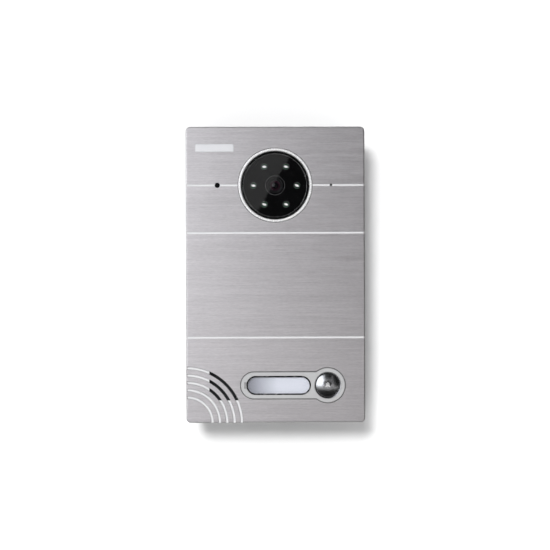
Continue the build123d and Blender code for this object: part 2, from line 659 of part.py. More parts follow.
# ---------------------------------------------------------------- tamper switch
def make_tamper_switch():
    body = block(-3, 3, TAMPER_Z - 3, TAMPER_Z + 3, 16.0, MAIN_BOARD)
    return body - disc(0, TAMPER_Z, 1.2 + FIT, 15, 19.4)


def make_tamper_plunger():
    """Pin that the wall holds in; it springs out of the back when the panel is pulled off."""
    flange = 9.9
    tip = turned(0, TAMPER_Z, [(0, 0.1), (1.5, 0.1), (2.0, 0.6), (2.0, 8.7),
                               (3.2, 8.7), (3.2, flange), (0, flange)])
    return tip + disc(0, TAMPER_Z, 1.2, flange, 18.9)


def make_tamper_spring():
    return coil_spring(0, TAMPER_Z, 2.1, 0.2, 9.95, 15.95, 5)


# ---------------------------------------------------------------- rear case and bracket
def make_rear_case():
    """Black plastic back: screw posts, board bosses, connector bay, hook slots and tongue recesses."""
    inner_w, inner_h = CASE_W - 2 * CASE_WALL, CASE_H - 2 * CASE_WALL
    case = layer(rounded(0, 0, CASE_W, CASE_H, CASE_CORNER), CASE_BACK, SEAM)
    back_edges = case.faces().sort_by(Axis.Y)[-1].edges()
    case = fillet(back_edges, 1.0)
    case -= layer(rounded(0, 0, inner_w, inner_h, 1), CASE_INNER, SEAM + 1)
    case += tongue_blocks(9.6, -92.0, -88.9, CASE_BACK, SEAM)
    case -= tongue_blocks(7.6, -95.0, -90.9, CASE_BACK - 1, SEAM + 1)
    case += [disc(x, z, 4.0, CASE_INNER, SEAM) for x, z in CASE_SCREWS]
    case += [disc(x, z, 3.0, CASE_INNER, MAIN_BOARD) for x, z in BOARD_SCREWS]
    case += layer(rounded(0, BAY_Z, BAY_W + 4, BAY_H + 4, 2), CASE_INNER, BAY_FLOOR + 2)
    case += ring(0, TAMPER_Z, 4.6, 3.4, CASE_INNER, 12.5)

    case -= layer(rounded(0, BAY_Z, BAY_W, BAY_H, 1.5), CASE_BACK - 1, BAY_FLOOR)
    floor = (BAY_FLOOR - 1, BAY_FLOOR + 3)
    case -= block(JACK_X - 8.15, JACK_X + 8.15, BAY_Z - 6.85, BAY_Z + 6.85, *floor)
    header_half = TERMINAL_WAYS * TERMINAL_PITCH / 2 + 1.55
    case -= block(PLUG_X - header_half, PLUG_X + header_half, BAY_Z - 4.35, BAY_Z + 4.35, *floor)
    case -= pilot_holes(CASE_SCREWS, 1.5 + FIT, CASE_BACK, SEAM + 1)
    case -= pilot_holes(CASE_SCREWS, 3.1, CASE_BACK - 1, SEAM - 4)
    case -= pilot_holes(BOARD_SCREWS, 1.2 + FIT, 12.5, MAIN_BOARD + 1)
    case -= disc(0, TAMPER_Z, 2.0 + FIT, CASE_BACK - 1, CASE_INNER + 1)
    for x in (-TONGUE_X, TONGUE_X):
        case -= block(x - 6.0, x + 6.0, HOOK_Z - 7.8, HOOK_Z + 0.05, CASE_BACK - 1, CASE_INNER + 1)
    case -= seal_ring(SEAM - 0.4, SEAM + 1)
    return case


def make_case_screws():
    return [screw(x, z, SEAM - 4, 2.8, 2.2, 1.5, 38.0) for x, z in CASE_SCREWS]


def make_rear_seal():
    """Foam strip along the top and sides of the case's back, open below so that water drains."""
    frame = layer(rounded(0, 0, 108, 184, 2) - rounded(0, 0, 99, 175, 1), 0, CASE_BACK)
    return frame - block(-60, 60, -100, -82, -1, CASE_BACK + 1)


def make_wall_bracket():
    """Folded steel bracket: wall plate, two top hooks and two long tongues for the security screws."""
    hook_back = CASE_INNER + 0.3
    plate = layer(rounded(0, 0, BRACKET_W, BRACKET_H, 4), 0, BRACKET_T)
    plate -= layer(rounded(0, BAY_Z, 76, 34, 3), -1, BRACKET_T + 1)
    plate -= disc(0, TAMPER_Z, 3.2, -1, BRACKET_T + 1)
    wall_holes = [(x, z) for x in (-WALL_HOLE_X, WALL_HOLE_X) for z in (-WALL_HOLE_Z, WALL_HOLE_Z)]
    plate -= pilot_holes(wall_holes, WALL_HOLE_R, -1, BRACKET_T + 1)
    plate -= pilot_holes([(-BOX_HOLE_X, 0), (BOX_HOLE_X, 0)], BOX_HOLE_R, -1, BRACKET_T + 1)
    for side in (-1, 1):
        rib = side * (BRACKET_W - BRACKET_T) / 2
        plate += block(rib - BRACKET_T / 2, rib + BRACKET_T / 2, -76, 76, 0, 3.5)
        x = side * TONGUE_X
        half = TONGUE_W / 2
        plate += block(x - half, x + half, -92.6, -BRACKET_H / 2 + 2, 0, BRACKET_T)
        plate += block(x - half, x + half, -92.6, -92.6 + BRACKET_T, 0, TONGUE_END)
        plate -= Pos(x, -SECURITY_D, -92) * Cylinder(1.5 + FIT, 4)
        plate -= block(x - 5.6, x + 5.6, HOOK_Z, HOOK_Z + 7.0, -1, BRACKET_T + 1)
        plate += block(x - 5, x + 5, HOOK_Z - BRACKET_T, HOOK_Z, 0, hook_back + BRACKET_T)
        plate += block(x - 5, x + 5, HOOK_Z - BRACKET_T, HOOK_Z + 6.0, hook_back, hook_back + BRACKET_T)
    return plate


def make_security_screws():
    """Countersunk screws driven up through the panel's lower edge into the bracket's tongues."""
    bottom = -PANEL_H / 2
    shank_len = 5.0
    screws = []
    for x in (-TONGUE_X, TONGUE_X):
        at_screw = Pos(x, -SECURITY_D, bottom)
        body = at_screw * Pos(0, 0, 0.7) * Cone(2.85, 1.5, 1.3)
        body += at_screw * Pos(0, 0, shank_len / 2) * Cylinder(1.5, shank_len)
        body -= at_screw * extrude(RegularPolygon(1.25, 6), amount=1.0)
        screws.append(body)
    return screws


# ---------------------------------------------------------------- write every piece
PIECES = {
    "face_plate": make_face_plate,
    "blank_badge": make_blank_badge,
    "front_gasket": make_front_gasket,
    "chassis_screws": make_chassis_screws,
    "camera_ring": make_camera_ring,
    "window_seal": make_window_seal,
    "camera_window": make_camera_window,
    "camera_mask": make_camera_mask,
    "ir_board": make_ir_board,
    "ir_leds": make_ir_leds,
    "lens_barrel": make_lens_barrel,
    "lens_glass": make_lens_glass,
    "lens_holder": make_lens_holder,
    "camera_board": make_camera_board,
    "image_sensor": make_image_sensor,
    "light_pipe": make_light_pipe,
    "light_sensor": make_light_sensor,
    "microphone_boot": make_microphone_boot,
    "microphone": make_microphone,
    "speaker_mesh": make_speaker_mesh,
    "speaker_gasket": make_speaker_gasket,
    "speaker_basket": make_speaker_basket,
    "speaker_cone": make_speaker_cone,
    "speaker_magnet": make_speaker_magnet,
    "name_trim": make_name_trim,
    "name_window": make_name_window,
    "name_card": make_name_card,
    "name_light_guide": make_name_light_guide,
    "button_bezel": make_button_bezel,
    "call_button": make_call_button,
    "button_icon": make_button_icon,
    "button_spring": make_button_spring,
    "switch_body": make_switch_body,
    "switch_plunger": make_switch_plunger,
    "button_board": make_button_board,
    "backlight_leds": make_backlight_leds,
    "small_screws": make_small_screws,
    "front_chassis": make_front_chassis,
    "case_seal": make_case_seal,
    "main_board": make_main_board,
    "board_screws": make_board_screws,
    "processor_shield": make_processor_shield,
    "network_transformer": make_network_transformer,
    "door_relay": make_door_relay,
    "capacitors": make_capacitors,
    "network_jack": make_network_jack,
    "jack_contacts": make_jack_contacts,
    "terminal_header": make_terminal_header,
    "terminal_plug": make_terminal_plug,
    "terminal_screws": make_terminal_screws,
    "camera_ribbon": make_camera_ribbon,
    "speaker_leads": make_speaker_leads,
    "tamper_switch": make_tamper_switch,
    "tamper_plunger": make_tamper_plunger,
    "tamper_spring": make_tamper_spring,
    "rear_case": make_rear_case,
    "case_screws": make_case_screws,
    "rear_seal": make_rear_seal,
    "wall_bracket": make_wall_bracket,
    "security_screws": make_security_screws,
}

os.makedirs("parts", exist_ok=True)
for name, make in PIECES.items():
    made = make()
    shape = Compound(children=made) if isinstance(made, list) else made
    export_step(shape, f"parts/{name}.step")
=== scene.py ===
import math

import bmesh
import bpy
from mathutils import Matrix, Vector


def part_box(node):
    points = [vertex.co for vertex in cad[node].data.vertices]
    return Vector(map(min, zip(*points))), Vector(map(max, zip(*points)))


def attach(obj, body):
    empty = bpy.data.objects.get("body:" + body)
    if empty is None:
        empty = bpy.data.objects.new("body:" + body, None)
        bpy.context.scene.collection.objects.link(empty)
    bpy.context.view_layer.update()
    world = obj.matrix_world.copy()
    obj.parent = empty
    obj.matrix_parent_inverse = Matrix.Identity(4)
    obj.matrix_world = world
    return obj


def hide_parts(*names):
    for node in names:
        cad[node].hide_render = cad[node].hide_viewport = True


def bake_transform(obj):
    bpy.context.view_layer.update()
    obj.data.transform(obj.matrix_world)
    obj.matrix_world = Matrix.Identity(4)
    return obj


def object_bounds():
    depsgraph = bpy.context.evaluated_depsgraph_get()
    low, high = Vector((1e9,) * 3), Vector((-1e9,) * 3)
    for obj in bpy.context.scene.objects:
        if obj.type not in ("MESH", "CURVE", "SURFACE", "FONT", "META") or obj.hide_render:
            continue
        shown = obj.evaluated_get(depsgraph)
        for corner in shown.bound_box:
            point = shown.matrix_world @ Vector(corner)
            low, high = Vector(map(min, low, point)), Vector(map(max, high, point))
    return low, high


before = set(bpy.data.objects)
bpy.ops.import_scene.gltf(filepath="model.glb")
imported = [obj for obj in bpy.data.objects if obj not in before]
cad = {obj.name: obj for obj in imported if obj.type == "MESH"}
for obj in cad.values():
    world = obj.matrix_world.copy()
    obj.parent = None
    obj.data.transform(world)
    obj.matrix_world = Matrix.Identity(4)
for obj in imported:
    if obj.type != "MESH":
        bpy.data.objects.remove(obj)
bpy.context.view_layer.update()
MM = 0.001


# ---------------- wall bracket
# Screwed to the wall first: 1.5 mm sheet steel, punched and folded, then hot-dip galvanised, so that it has a
# zinc spangle with a dull bloom. Two hooks and two long tongues carry the panel.
def add(tree, kind, sockets=None, **settings):
    """A node with its settings, and its sockets linked or given a value."""
    made = tree.nodes.new(kind)
    for name, value in settings.items():
        setattr(made, name, value)
    for name, source in (sockets or {}).items():
        if isinstance(source, bpy.types.NodeSocket):
            tree.links.new(source, made.inputs[name])
        else:
            made.inputs[name].default_value = source
    return made


def out(tree, kind, sockets=None, **settings):
    """What the first output of a new node gives."""
    return add(tree, kind, sockets, **settings).outputs[0]


def finish_of(name, colour, roughness, metallic=0.0, **sockets):
    """A new material: its node tree and its shader, with the constant values set."""
    made = bpy.data.materials.new(name)
    made.use_nodes = True
    shader = made.node_tree.nodes["Principled BSDF"]
    shader.inputs["Base Color"].default_value = (*colour, 1)
    shader.inputs["Roughness"].default_value = roughness
    shader.inputs["Metallic"].default_value = metallic
    for socket, value in sockets.items():
        shader.inputs[socket.replace("_", " ")].default_value = value
    return made, made.node_tree, shader


def on_piece(tree, per_metre=(1, 1, 1), centre=(0, 0, 0)):
    """Object coordinates from a centre, with so many repeats to the metre along each axis."""
    where = add(tree, "ShaderNodeTexCoord").outputs["Object"]
    moved = out(tree, "ShaderNodeVectorMath", {0: where, 1: centre}, operation="SUBTRACT")
    return out(tree, "ShaderNodeVectorMath", {0: moved, 1: per_metre}, operation="MULTIPLY")


def grain(tree, per_metre, detail=3.0, rough=0.55):
    """Cloudy noise, with so many repeats to the metre along each axis, or the same along all three."""
    where = on_piece(tree, per_metre if isinstance(per_metre, tuple) else (per_metre,) * 3)
    return add(tree, "ShaderNodeTexNoise", {"Vector": where, "Scale": 1.0, "Detail": detail,
                                            "Roughness": rough}).outputs["Fac"]


def cells(tree, per_metre, output="Distance"):
    where = on_piece(tree, (per_metre,) * 3)
    return add(tree, "ShaderNodeTexVoronoi", {"Vector": where, "Scale": 1.0}).outputs[output]


def span(tree, source, low, high, start=0.3, end=0.7):
    """A value that runs from low to high while the source runs from start to end."""
    return add(tree, "ShaderNodeMapRange", {"Value": source, "From Min": start, "From Max": end,
                                            "To Min": low, "To Max": high}).outputs["Result"]


def shades(tree, source, dark, light, start=0.3, end=0.7):
    """A colour that runs from dark to light while the source runs from start to end."""
    ramp = add(tree, "ShaderNodeValToRGB", {"Fac": source})
    for element, place, colour in zip(ramp.color_ramp.elements, (start, end), (dark, light)):
        element.position = place
        element.color = (*colour, 1)
    return ramp.outputs["Color"]


def reckon(tree, first, second, operation="MULTIPLY"):
    return out(tree, "ShaderNodeMath", {0: first, 1: second}, operation=operation)


def mixed(tree, share, first, second):
    """The first colour where share is 0, the second where it is 1."""
    first, second = [(*c, 1) if isinstance(c, tuple) else c for c in (first, second)]
    mix = add(tree, "ShaderNodeMix", {0: share}, data_type="RGBA")
    for socket, colour in ((mix.inputs[6], first), (mix.inputs[7], second)):
        if isinstance(colour, tuple):
            socket.default_value = colour
        else:
            tree.links.new(colour, socket)
    return mix.outputs[2]


def feed(tree, shader, **sources):
    for socket, source in sources.items():
        tree.links.new(source, shader.inputs[socket.replace("_", " ")])


def emboss(tree, shader, source, height):
    """Relief of a real height in metres, on top of any relief that is there already."""
    relief = add(tree, "ShaderNodeBump", {"Height": source, "Distance": height, "Strength": 1.0})
    if shader.inputs["Normal"].is_linked:
        tree.links.new(shader.inputs["Normal"].links[0].from_socket, relief.inputs["Normal"])
    feed(tree, shader, Normal=relief.outputs["Normal"])


def wear(material, *names):
    """Carried-over CAD nodes take a finish."""
    for name in names:
        cad[name].data.materials.clear()
        cad[name].data.materials.append(material)


def galvanised_steel():
    made, tree, shader = finish_of("galvanised_steel", (0.55, 0.57, 0.59), 0.4, 0.9)
    flake = out(tree, "ShaderNodeSeparateColor", {0: cells(tree, 170, "Color")})
    bloom = grain(tree, 45, 6)
    sheet = shades(tree, flake, (0.47, 0.49, 0.51), (0.66, 0.68, 0.70), 0.0, 1.0)
    feed(tree, shader, Base_Color=mixed(tree, span(tree, bloom, 0, 0.4, 0.45, 0.75), sheet, (0.42, 0.43, 0.44)),
         Roughness=reckon(tree, span(tree, bloom, 0.3, 0.5), reckon(tree, flake, 0.12), "ADD"))
    emboss(tree, shader, grain(tree, 1500), 0.00001)
    return made


wear(galvanised_steel(), "wall_bracket")


# ---------------- security screws
# Two stainless countersunk screws with hexagon sockets, driven up through the panel's lower edge into the
# bracket's tongues. Their turned heads show fine rings.
def grained(name, dark, light, roughness, scale, detail=3.0, rough=0.55, relief=0.0, between=(0.3, 0.7),
            cloud=None, metallic=0.0, **sockets):
    """A finish whose roughness runs from low to high along one fine grain, as does its relief in metres. Its
    two shades follow that grain too, or a cloud of their own. The dark one may be a share of the light one."""
    made, tree, shader = finish_of(name, light, roughness[0], metallic, **sockets)
    fine = grain(tree, scale, detail, rough)
    tone = grain(tree, *cloud) if cloud else fine
    if isinstance(dark, float):
        dark = tuple(dark * c for c in light)
    feed(tree, shader, Base_Color=shades(tree, tone, dark, light, *between),
         Roughness=span(tree, fine, *roughness))
    if relief:
        emboss(tree, shader, fine, relief)
    return made


def turned_steel(name, colour, roughness):
    return grained(name, 0.82, colour, (0.75 * roughness, 1.3 * roughness), 9000, 2, relief=0.000004,
                   between=(0.35, 0.65), cloud=(320, 4), metallic=1.0)


wear(turned_steel("stainless_steel", (0.63, 0.62, 0.60), 0.24), "security_screws")


# ---------------- foam seals
# Closed-cell foam strips: one on the case's back against the wall, one between face and chassis, one round
# the speaker. The skin shows its fine cells.
def closed_cell_foam():
    made, tree, shader = finish_of("closed_cell_foam", (0.05, 0.05, 0.052), 0.9, Sheen_Weight=0.15)
    bubbles = cells(tree, 2600)
    feed(tree, shader, Base_Color=shades(tree, bubbles, (0.075, 0.075, 0.078), (0.03, 0.03, 0.032), 0.1, 0.7),
         Roughness=span(tree, grain(tree, 500), 0.82, 0.96))
    emboss(tree, shader, bubbles, -0.00009)
    return made


wear(closed_cell_foam(), "rear_seal", "front_gasket", "speaker_gasket")


# ---------------- rear case and chassis
# The two black ABS mouldings that hold everything: the chassis behind the face and the case against the wall.
# Their moulds were spark-eroded, which leaves a fine even grain; the walls show faint flow and handling marks.
def spark_eroded_plastic(name, colour, roughness=0.52, coarse=2800):
    made, tree, shader = finish_of(name, colour, roughness, IOR=1.52)
    texture = grain(tree, coarse, 4, 0.62)
    flow = grain(tree, 38, 5)
    rubbed = span(tree, flow, 0.0, 1.0, 0.42, 0.68)
    light = tuple(min(1.0, 1.45 * c + 0.006) for c in colour)
    feed(tree, shader, Base_Color=mixed(tree, rubbed, colour, light),
         Roughness=reckon(tree, span(tree, texture, roughness - 0.08, roughness + 0.1),
                          span(tree, rubbed, 0.0, -0.07, 0, 1), "ADD"))
    emboss(tree, shader, texture, 0.00005)
    return made


wear(spark_eroded_plastic("spark_eroded_black", (0.026, 0.027, 0.029)), "rear_case", "front_chassis")


# ---------------- screws
# Zinc plated pan-head screws with cross recesses: six through the case, eight that hold the chassis to the
# face, four for the main board and eight small ones for the camera and button boards.
def islands(name):
    """The lowest and highest corner of each separate solid of a CAD node, bottom row first."""
    solid = bmesh.new()
    solid.from_mesh(cad[name].data)
    bmesh.ops.remove_doubles(solid, verts=solid.verts, dist=1e-6)
    left, found = set(solid.verts), []
    while left:
        todo, seen = [left.pop()], []
        while todo:
            corner = todo.pop()
            seen.append(corner.co.copy())
            for other in (edge.other_vert(corner) for edge in corner.link_edges):
                if other in left:
                    left.remove(other)
                    todo.append(other)
        found.append(tuple(Vector(pick(c[i] for c in seen) for i in range(3)) for pick in (min, max)))
    solid.free()
    return sorted(found, key=lambda box: (round(box[0].z, 4), round(box[0].x, 4)))


def placed(box):
    """The middle of a box in x and z, its radius, and how far its back and front stand off the wall."""
    low, high = box
    return (low.x + high.x) / 2, (low.z + high.z) / 2, (high.x - low.x) / 2, -high.y, -low.y


def softened(profile, radius, steps=3):
    """A closed profile with its corners rounded, except those on the axis."""
    points = [Vector(p) for p in profile]
    rounded = []
    for before, here, after in zip(points[-1:] + points, points, points[1:] + points[:1]):
        back, on = before - here, after - here
        reach = min(radius, 0.4 * back.length, 0.4 * on.length)
        if here.x < 1e-9 or reach <= 0:
            rounded.append(here)
            continue
        start, end = here + back.normalized() * reach, here + on.normalized() * reach
        for step in range(steps + 1):
            t = step / steps
            rounded.append(start * (1 - t) ** 2 + here * 2 * t * (1 - t) + end * t ** 2)
    return rounded


def turn(shape, x, z, profile, around=96, soft=0.0):
    """Adds to a bmesh the solid that a closed profile of (radius, distance from the wall) sweeps round."""
    rings = []
    for radius, depth in (softened(profile, soft) if soft else [Vector(p) for p in profile]):
        turns = 1 if radius < 1e-9 else around
        rings.append([shape.verts.new((x + radius * math.cos(2 * math.pi * i / around), -depth,
                                       z + radius * math.sin(2 * math.pi * i / around))) for i in range(turns)])
    for near, far in zip(rings, rings[1:] + rings[:1]):
        if len(near) == len(far) == 1:
            continue
        for i in range(around):
            ends = [near[i % len(near)], near[(i + 1) % len(near)], far[(i + 1) % len(far)], far[i % len(far)]]
            shape.faces.new(dict.fromkeys(ends))
    return shape


def loft(shape, loops, finishes=None):
    """Adds a closed skin over a row of outlines, its ends filled, with the number of each band's finish."""
    rows = [[shape.verts.new(p) for p in loop] for loop in loops]
    for index, (near, far) in enumerate(zip(rows, rows[1:])):
        for i in range(len(near)):
            j = (i + 1) % len(near)
            face = shape.faces.new((near[i], near[j], far[j], far[i]))
            face.material_index = finishes[index] if finishes else 0
    shape.faces.new(rows[0])
    shape.faces.new(rows[-1])
    return shape


def shade(mesh, sharp):
    """Smooth, except along edges sharper than so many degrees."""
    mesh.shade_smooth()
    mesh.set_sharp_from_angle(angle=math.radians(sharp))


def into_scene(name, data):
    made = bpy.data.objects.new(name, data)
    bpy.context.scene.collection.objects.link(made)
    return made


def as_piece(name, shape, *materials, sharp=35):
    """A bmesh made an object with outward faces, smooth except along its sharp edges."""
    bmesh.ops.recalc_face_normals(shape, faces=shape.faces)
    mesh = bpy.data.meshes.new(name)
    shape.to_mesh(mesh)
    shape.free()
    for material in materials:
        mesh.materials.append(material)
    shade(mesh, sharp)
    return into_scene(name, mesh)


def settle(piece, modifier):
    """Turns what a modifier makes of a piece into its plain mesh."""
    bpy.context.view_layer.update()
    graph = bpy.context.evaluated_depsgraph_get()
    mesh = bpy.data.meshes.new_from_object(piece.evaluated_get(graph))
    piece.modifiers.remove(modifier)
    piece.data = mesh
    return piece


def cut_out(piece, cutter, overlaps=False):
    """Takes the cutter's solid out of a piece and uses it up. With overlaps, the cutter may cross itself."""
    recess = piece.modifiers.new("recess", "BOOLEAN")
    recess.object = cutter
    recess.operation = "DIFFERENCE"
    recess.solver = "EXACT"
    recess.use_self = overlaps
    settle(piece, recess)
    bpy.data.objects.remove(cutter)


def belongs(piece, body, slot, *stands_for):
    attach(piece, body)
    if stands_for:
        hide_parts(*stands_for)


def new_tree(name, **inputs):
    """An empty Geometry Nodes tree with named inputs: its tree, its entry and its exit."""
    tree = bpy.data.node_groups.new(name, "GeometryNodeTree")
    tree.interface.new_socket(name="Geometry", in_out="INPUT", socket_type="NodeSocketGeometry")
    for label, kind in inputs.items():
        tree.interface.new_socket(name=label, in_out="INPUT", socket_type="NodeSocket" + kind)
    tree.interface.new_socket(name="Geometry", in_out="OUTPUT", socket_type="NodeSocketGeometry")
    return tree, tree.nodes.new("NodeGroupInput").outputs, tree.nodes.new("NodeGroupOutput")


def run_tree(tree, piece, **values):
    """Runs a Geometry Nodes tree on a piece and leaves the plain mesh that it makes."""
    modifier = piece.modifiers.new(tree.name, "NODES")
    modifier.node_group = tree
    for socket in tree.interface.items_tree:
        if socket.in_out == "INPUT" and socket.name in values:
            modifier[socket.identifier] = values[socket.name]
    piece.update_tag()
    return settle(piece, modifier)


def end_tree(tree, leave, geometry, material):
    real = out(tree, "GeometryNodeRealizeInstances", {"Geometry": geometry})
    done = out(tree, "GeometryNodeSetMaterial", {"Geometry": real, "Material": material})
    tree.links.new(done, leave.inputs[0])


def repeat_tree():
    """Copies of one shape at a mesh's points, each turned about its own axis by a random part of Turn."""
    tree, entry, leave = new_tree("copies_at_places", Shape="Object", Turn="Float", Seed="Int",
                                  Finish="Material")
    shape = add(tree, "GeometryNodeObjectInfo", {"Object": entry["Shape"]}).outputs["Geometry"]
    chance = add(tree, "FunctionNodeRandomValue", {2: 0.0, 3: entry["Turn"], "Seed": entry["Seed"]})
    spin = out(tree, "ShaderNodeCombineXYZ", {"Y": chance.outputs[1]})
    copies = out(tree, "GeometryNodeInstanceOnPoints", {"Points": entry["Geometry"], "Instance": shape,
                                                        "Rotation": spin})
    end_tree(tree, leave, copies, entry["Finish"])
    return tree


def points_at(name, places):
    mesh = bpy.data.meshes.new(name)
    mesh.from_pydata(places, [], [])
    return into_scene(name, mesh)


copies_at_places = repeat_tree()


def repeat(name, shape, places, material, turn_by=0.0, seed=1):
    """One piece made of a shape's copies at these places; the shape itself is used up."""
    piece = run_tree(copies_at_places, points_at(name, places), Shape=shape, Turn=turn_by, Seed=seed,
                     Finish=material)
    bpy.data.objects.remove(shape)
    shade(piece.data, 35)
    return piece


corners_of_square = ((-1, -1), (1, -1), (1, 1), (-1, 1))


def cross_head_screw(name, head_r, head_h, shank_r, length, point_back):
    """A screw at the origin. Its head's seat is at y = 0; point_back turns the shank towards the wall."""
    way = -1 if point_back else 1
    profile = [(0, -head_h), (0.62 * head_r, -head_h), (0.9 * head_r, -0.72 * head_h), (head_r, -0.3 * head_h),
               (0.99 * head_r, 0), (shank_r, 0)]
    pitch, core_r = 0.38 * shank_r, 0.84 * shank_r
    depth = 1.2 * pitch
    while depth < length - 1.5 * pitch:
        profile += [(shank_r, depth), (core_r, depth + 0.5 * pitch)]
        depth += pitch
    profile += [(core_r, length - 0.8 * pitch), (0.5 * shank_r, length), (0, length)]
    screw = as_piece(name, turn(bmesh.new(), 0, 0, [(r, way * d) for r, d in profile], around=32))
    arm, half_width, sink, taper = 0.52 * head_r, 0.1 * head_r, 0.6 * head_h, 0.62
    cross = bmesh.new()
    for x_half, z_half in ((arm, half_width), (half_width, arm)):
        loft(cross, [[(sx * size * x_half, way * y, sz * size * z_half) for sx, sz in corners_of_square]
                     for size, y in ((1, 2 * head_h), (taper, head_h - sink))])
    cut_out(screw, as_piece(name + "_cross", cross), overlaps=True)
    return screw


zinc = turned_steel("zinc_plated_steel", (0.60, 0.60, 0.59), 0.3)
for node, head_h, shank_r, seed, from_front in (("case_screws", 2.2 * MM, 1.5 * MM, 3, False),
                                                ("chassis_screws", 1.7 * MM, 1.25 * MM, 5, False),
                                                ("board_screws", 1.8 * MM, 1.2 * MM, 7, True),
                                                ("small_screws", 1.4 * MM, 1.0 * MM, 11, False)):
    boxes = islands(node)
    _, _, head_r, back, front = placed(boxes[0])
    screw = cross_head_screw(node + "_one", head_r, head_h, shank_r, front - back - head_h, from_front)
    seats = [(x, -front + head_h if from_front else -back - head_h, z)
             for x, z, _, back, front in map(placed, boxes)]
    made = repeat("zinc_" + node, screw, seats, zinc, turn_by=math.pi / 2, seed=seed)
    belongs(made, "panel", "screw_steel", node)


# ---------------- tamper switch
# A microswitch on the main board with a red pin that the wall holds in, and the light spring that pushes the
# pin out when the panel is pulled off. The pin is an acetal moulding, the spring bright wire.
wear(spark_eroded_plastic("switch_black", (0.03, 0.03, 0.032), 0.4, 5200), "tamper_switch", "switch_body")

pin_red = spark_eroded_plastic("acetal_red", (0.50, 0.025, 0.02), 0.34, 1900)
pin_x, pin_z, _, tip, end = placed(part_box("tamper_plunger"))
pin_r, collar_r, stem_r, tip_round = 2.0 * MM, 3.2 * MM, 1.2 * MM, 0.5 * MM
collar_low, collar_high = tip + 8.6 * MM, tip + 9.8 * MM
pin_profile = [(0, tip), (pin_r - tip_round, tip), (pin_r, tip + tip_round), (pin_r, collar_low),
               (collar_r, collar_low), (collar_r, collar_high), (stem_r, collar_high), (stem_r, end), (0, end)]
pin = as_piece("tamper_pin", turn(bmesh.new(), pin_x, pin_z, pin_profile, around=48, soft=0.15 * MM), pin_red)
belongs(pin, "tamper", "tamper_red", "tamper_plunger")


def spring_tree():
    """A round wire wound in even turns about the line to the wall."""
    tree, entry, leave = new_tree("wound_spring", Radius="Float", Wire="Float", Height="Float", Turns="Float",
                                  Finish="Material")
    coil = out(tree, "GeometryNodeCurveSpiral", {"Resolution": 44, "Rotations": entry["Turns"],
                                                 "Start Radius": entry["Radius"], "End Radius": entry["Radius"],
                                                 "Height": entry["Height"]})
    wire = out(tree, "GeometryNodeCurvePrimitiveCircle", {"Resolution": 10, "Radius": entry["Wire"]})
    tube = add(tree, "GeometryNodeCurveToMesh", {"Curve": coil, "Profile Curve": wire, "Fill Caps": True})
    laid = out(tree, "GeometryNodeTransform", {"Geometry": tube.outputs[0],
                                               "Rotation": (math.pi / 2, 0, 0)})
    smooth = out(tree, "GeometryNodeSetShadeSmooth", {"Geometry": laid})
    end_tree(tree, leave, smooth, entry["Finish"])
    return tree


wound_spring = spring_tree()
bright_wire = grained("spring_wire", (0.45, 0.45, 0.46), (0.68, 0.68, 0.68), (0.16, 0.36), 2400, metallic=1.0)
for node, body, wire_r, turns in (("tamper_spring", "tamper", 0.2 * MM, 5.0),
                                  ("button_spring", "button", 0.25 * MM, 4.0)):
    spring_x, spring_z, outer_r, back, front = placed(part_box(node))
    spring = run_tree(wound_spring, points_at("wound_" + node, []), Radius=outer_r - wire_r, Wire=wire_r,
                      Height=front - back - 2 * wire_r, Turns=turns, Finish=bright_wire)
    for corner in spring.data.vertices:
        corner.co += Vector((spring_x, -back - wire_r, spring_z))
    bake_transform(spring)
    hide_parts(node)


# ---------------- circuit boards
# Glass-epoxy boards in green solder mask. Copper tracks show as raised paler lines beneath the mask, with
# tinned pads in rows between them.
def parts_of(tree, vector):
    """A vector's three numbers."""
    return add(tree, "ShaderNodeSeparateXYZ", {0: vector}).outputs


def solder_mask():
    made, tree, shader = finish_of("solder_mask", (0.012, 0.11, 0.045), 0.32, IOR=1.55)
    x, _, z = parts_of(tree, on_piece(tree))
    flat = out(tree, "ShaderNodeCombineXYZ", {"X": x, "Y": z})
    tracks = add(tree, "ShaderNodeTexBrick", {"Vector": flat, "Scale": 320.0, "Mortar Size": 0.09,
                                              "Mortar Smooth": 0.2, "Brick Width": 3.1, "Row Height": 0.62},
                 offset=0.37).outputs["Fac"]
    pads = add(tree, "ShaderNodeTexVoronoi", {"Vector": flat, "Scale": 230.0, "Randomness": 0.35})
    pad = span(tree, pads.outputs["Distance"], 1.0, 0.0, 0.13, 0.16)
    copper = mixed(tree, tracks, (0.010, 0.095, 0.038), (0.03, 0.19, 0.075))
    feed(tree, shader, Base_Color=mixed(tree, pad, copper, (0.62, 0.60, 0.55)),
         Roughness=span(tree, grain(tree, 700), 0.26, 0.42), Metallic=reckon(tree, pad, 0.85))
    emboss(tree, shader, reckon(tree, tracks, pad, "ADD"), 0.00003)
    return made


wear(solder_mask(), "main_board", "camera_board", "button_board", "ir_board", "light_sensor")


# ---------------- board components
# Moulded chips, the relay and the transformer, three sleeved capacitors with scored vents, and the pressed tin
# can over the processor.
wear(spark_eroded_plastic("moulded_epoxy", (0.02, 0.02, 0.022), 0.38, 4200), "image_sensor",
     "network_transformer", "door_relay")
wear(grained("tinned_steel", (0.50, 0.51, 0.51), (0.66, 0.66, 0.65), (0.24, 0.44), (150, 5200, 3600),
             relief=0.000006, cloud=(120, 4), metallic=1.0), "processor_shield", "speaker_basket", "microphone")


def capacitor_sleeve():
    made, tree, shader = finish_of("capacitor_sleeve", (0.02, 0.025, 0.05), 0.3, IOR=1.5)
    depth = parts_of(tree, on_piece(tree))[1]
    bare = span(tree, depth, 0.0, 1.0, -0.00985, -0.00975)
    feed(tree, shader, Base_Color=mixed(tree, bare, (0.02, 0.025, 0.05), (0.68, 0.68, 0.68)), Metallic=bare,
         Roughness=span(tree, grain(tree, 900), 0.2, 0.4))
    return made


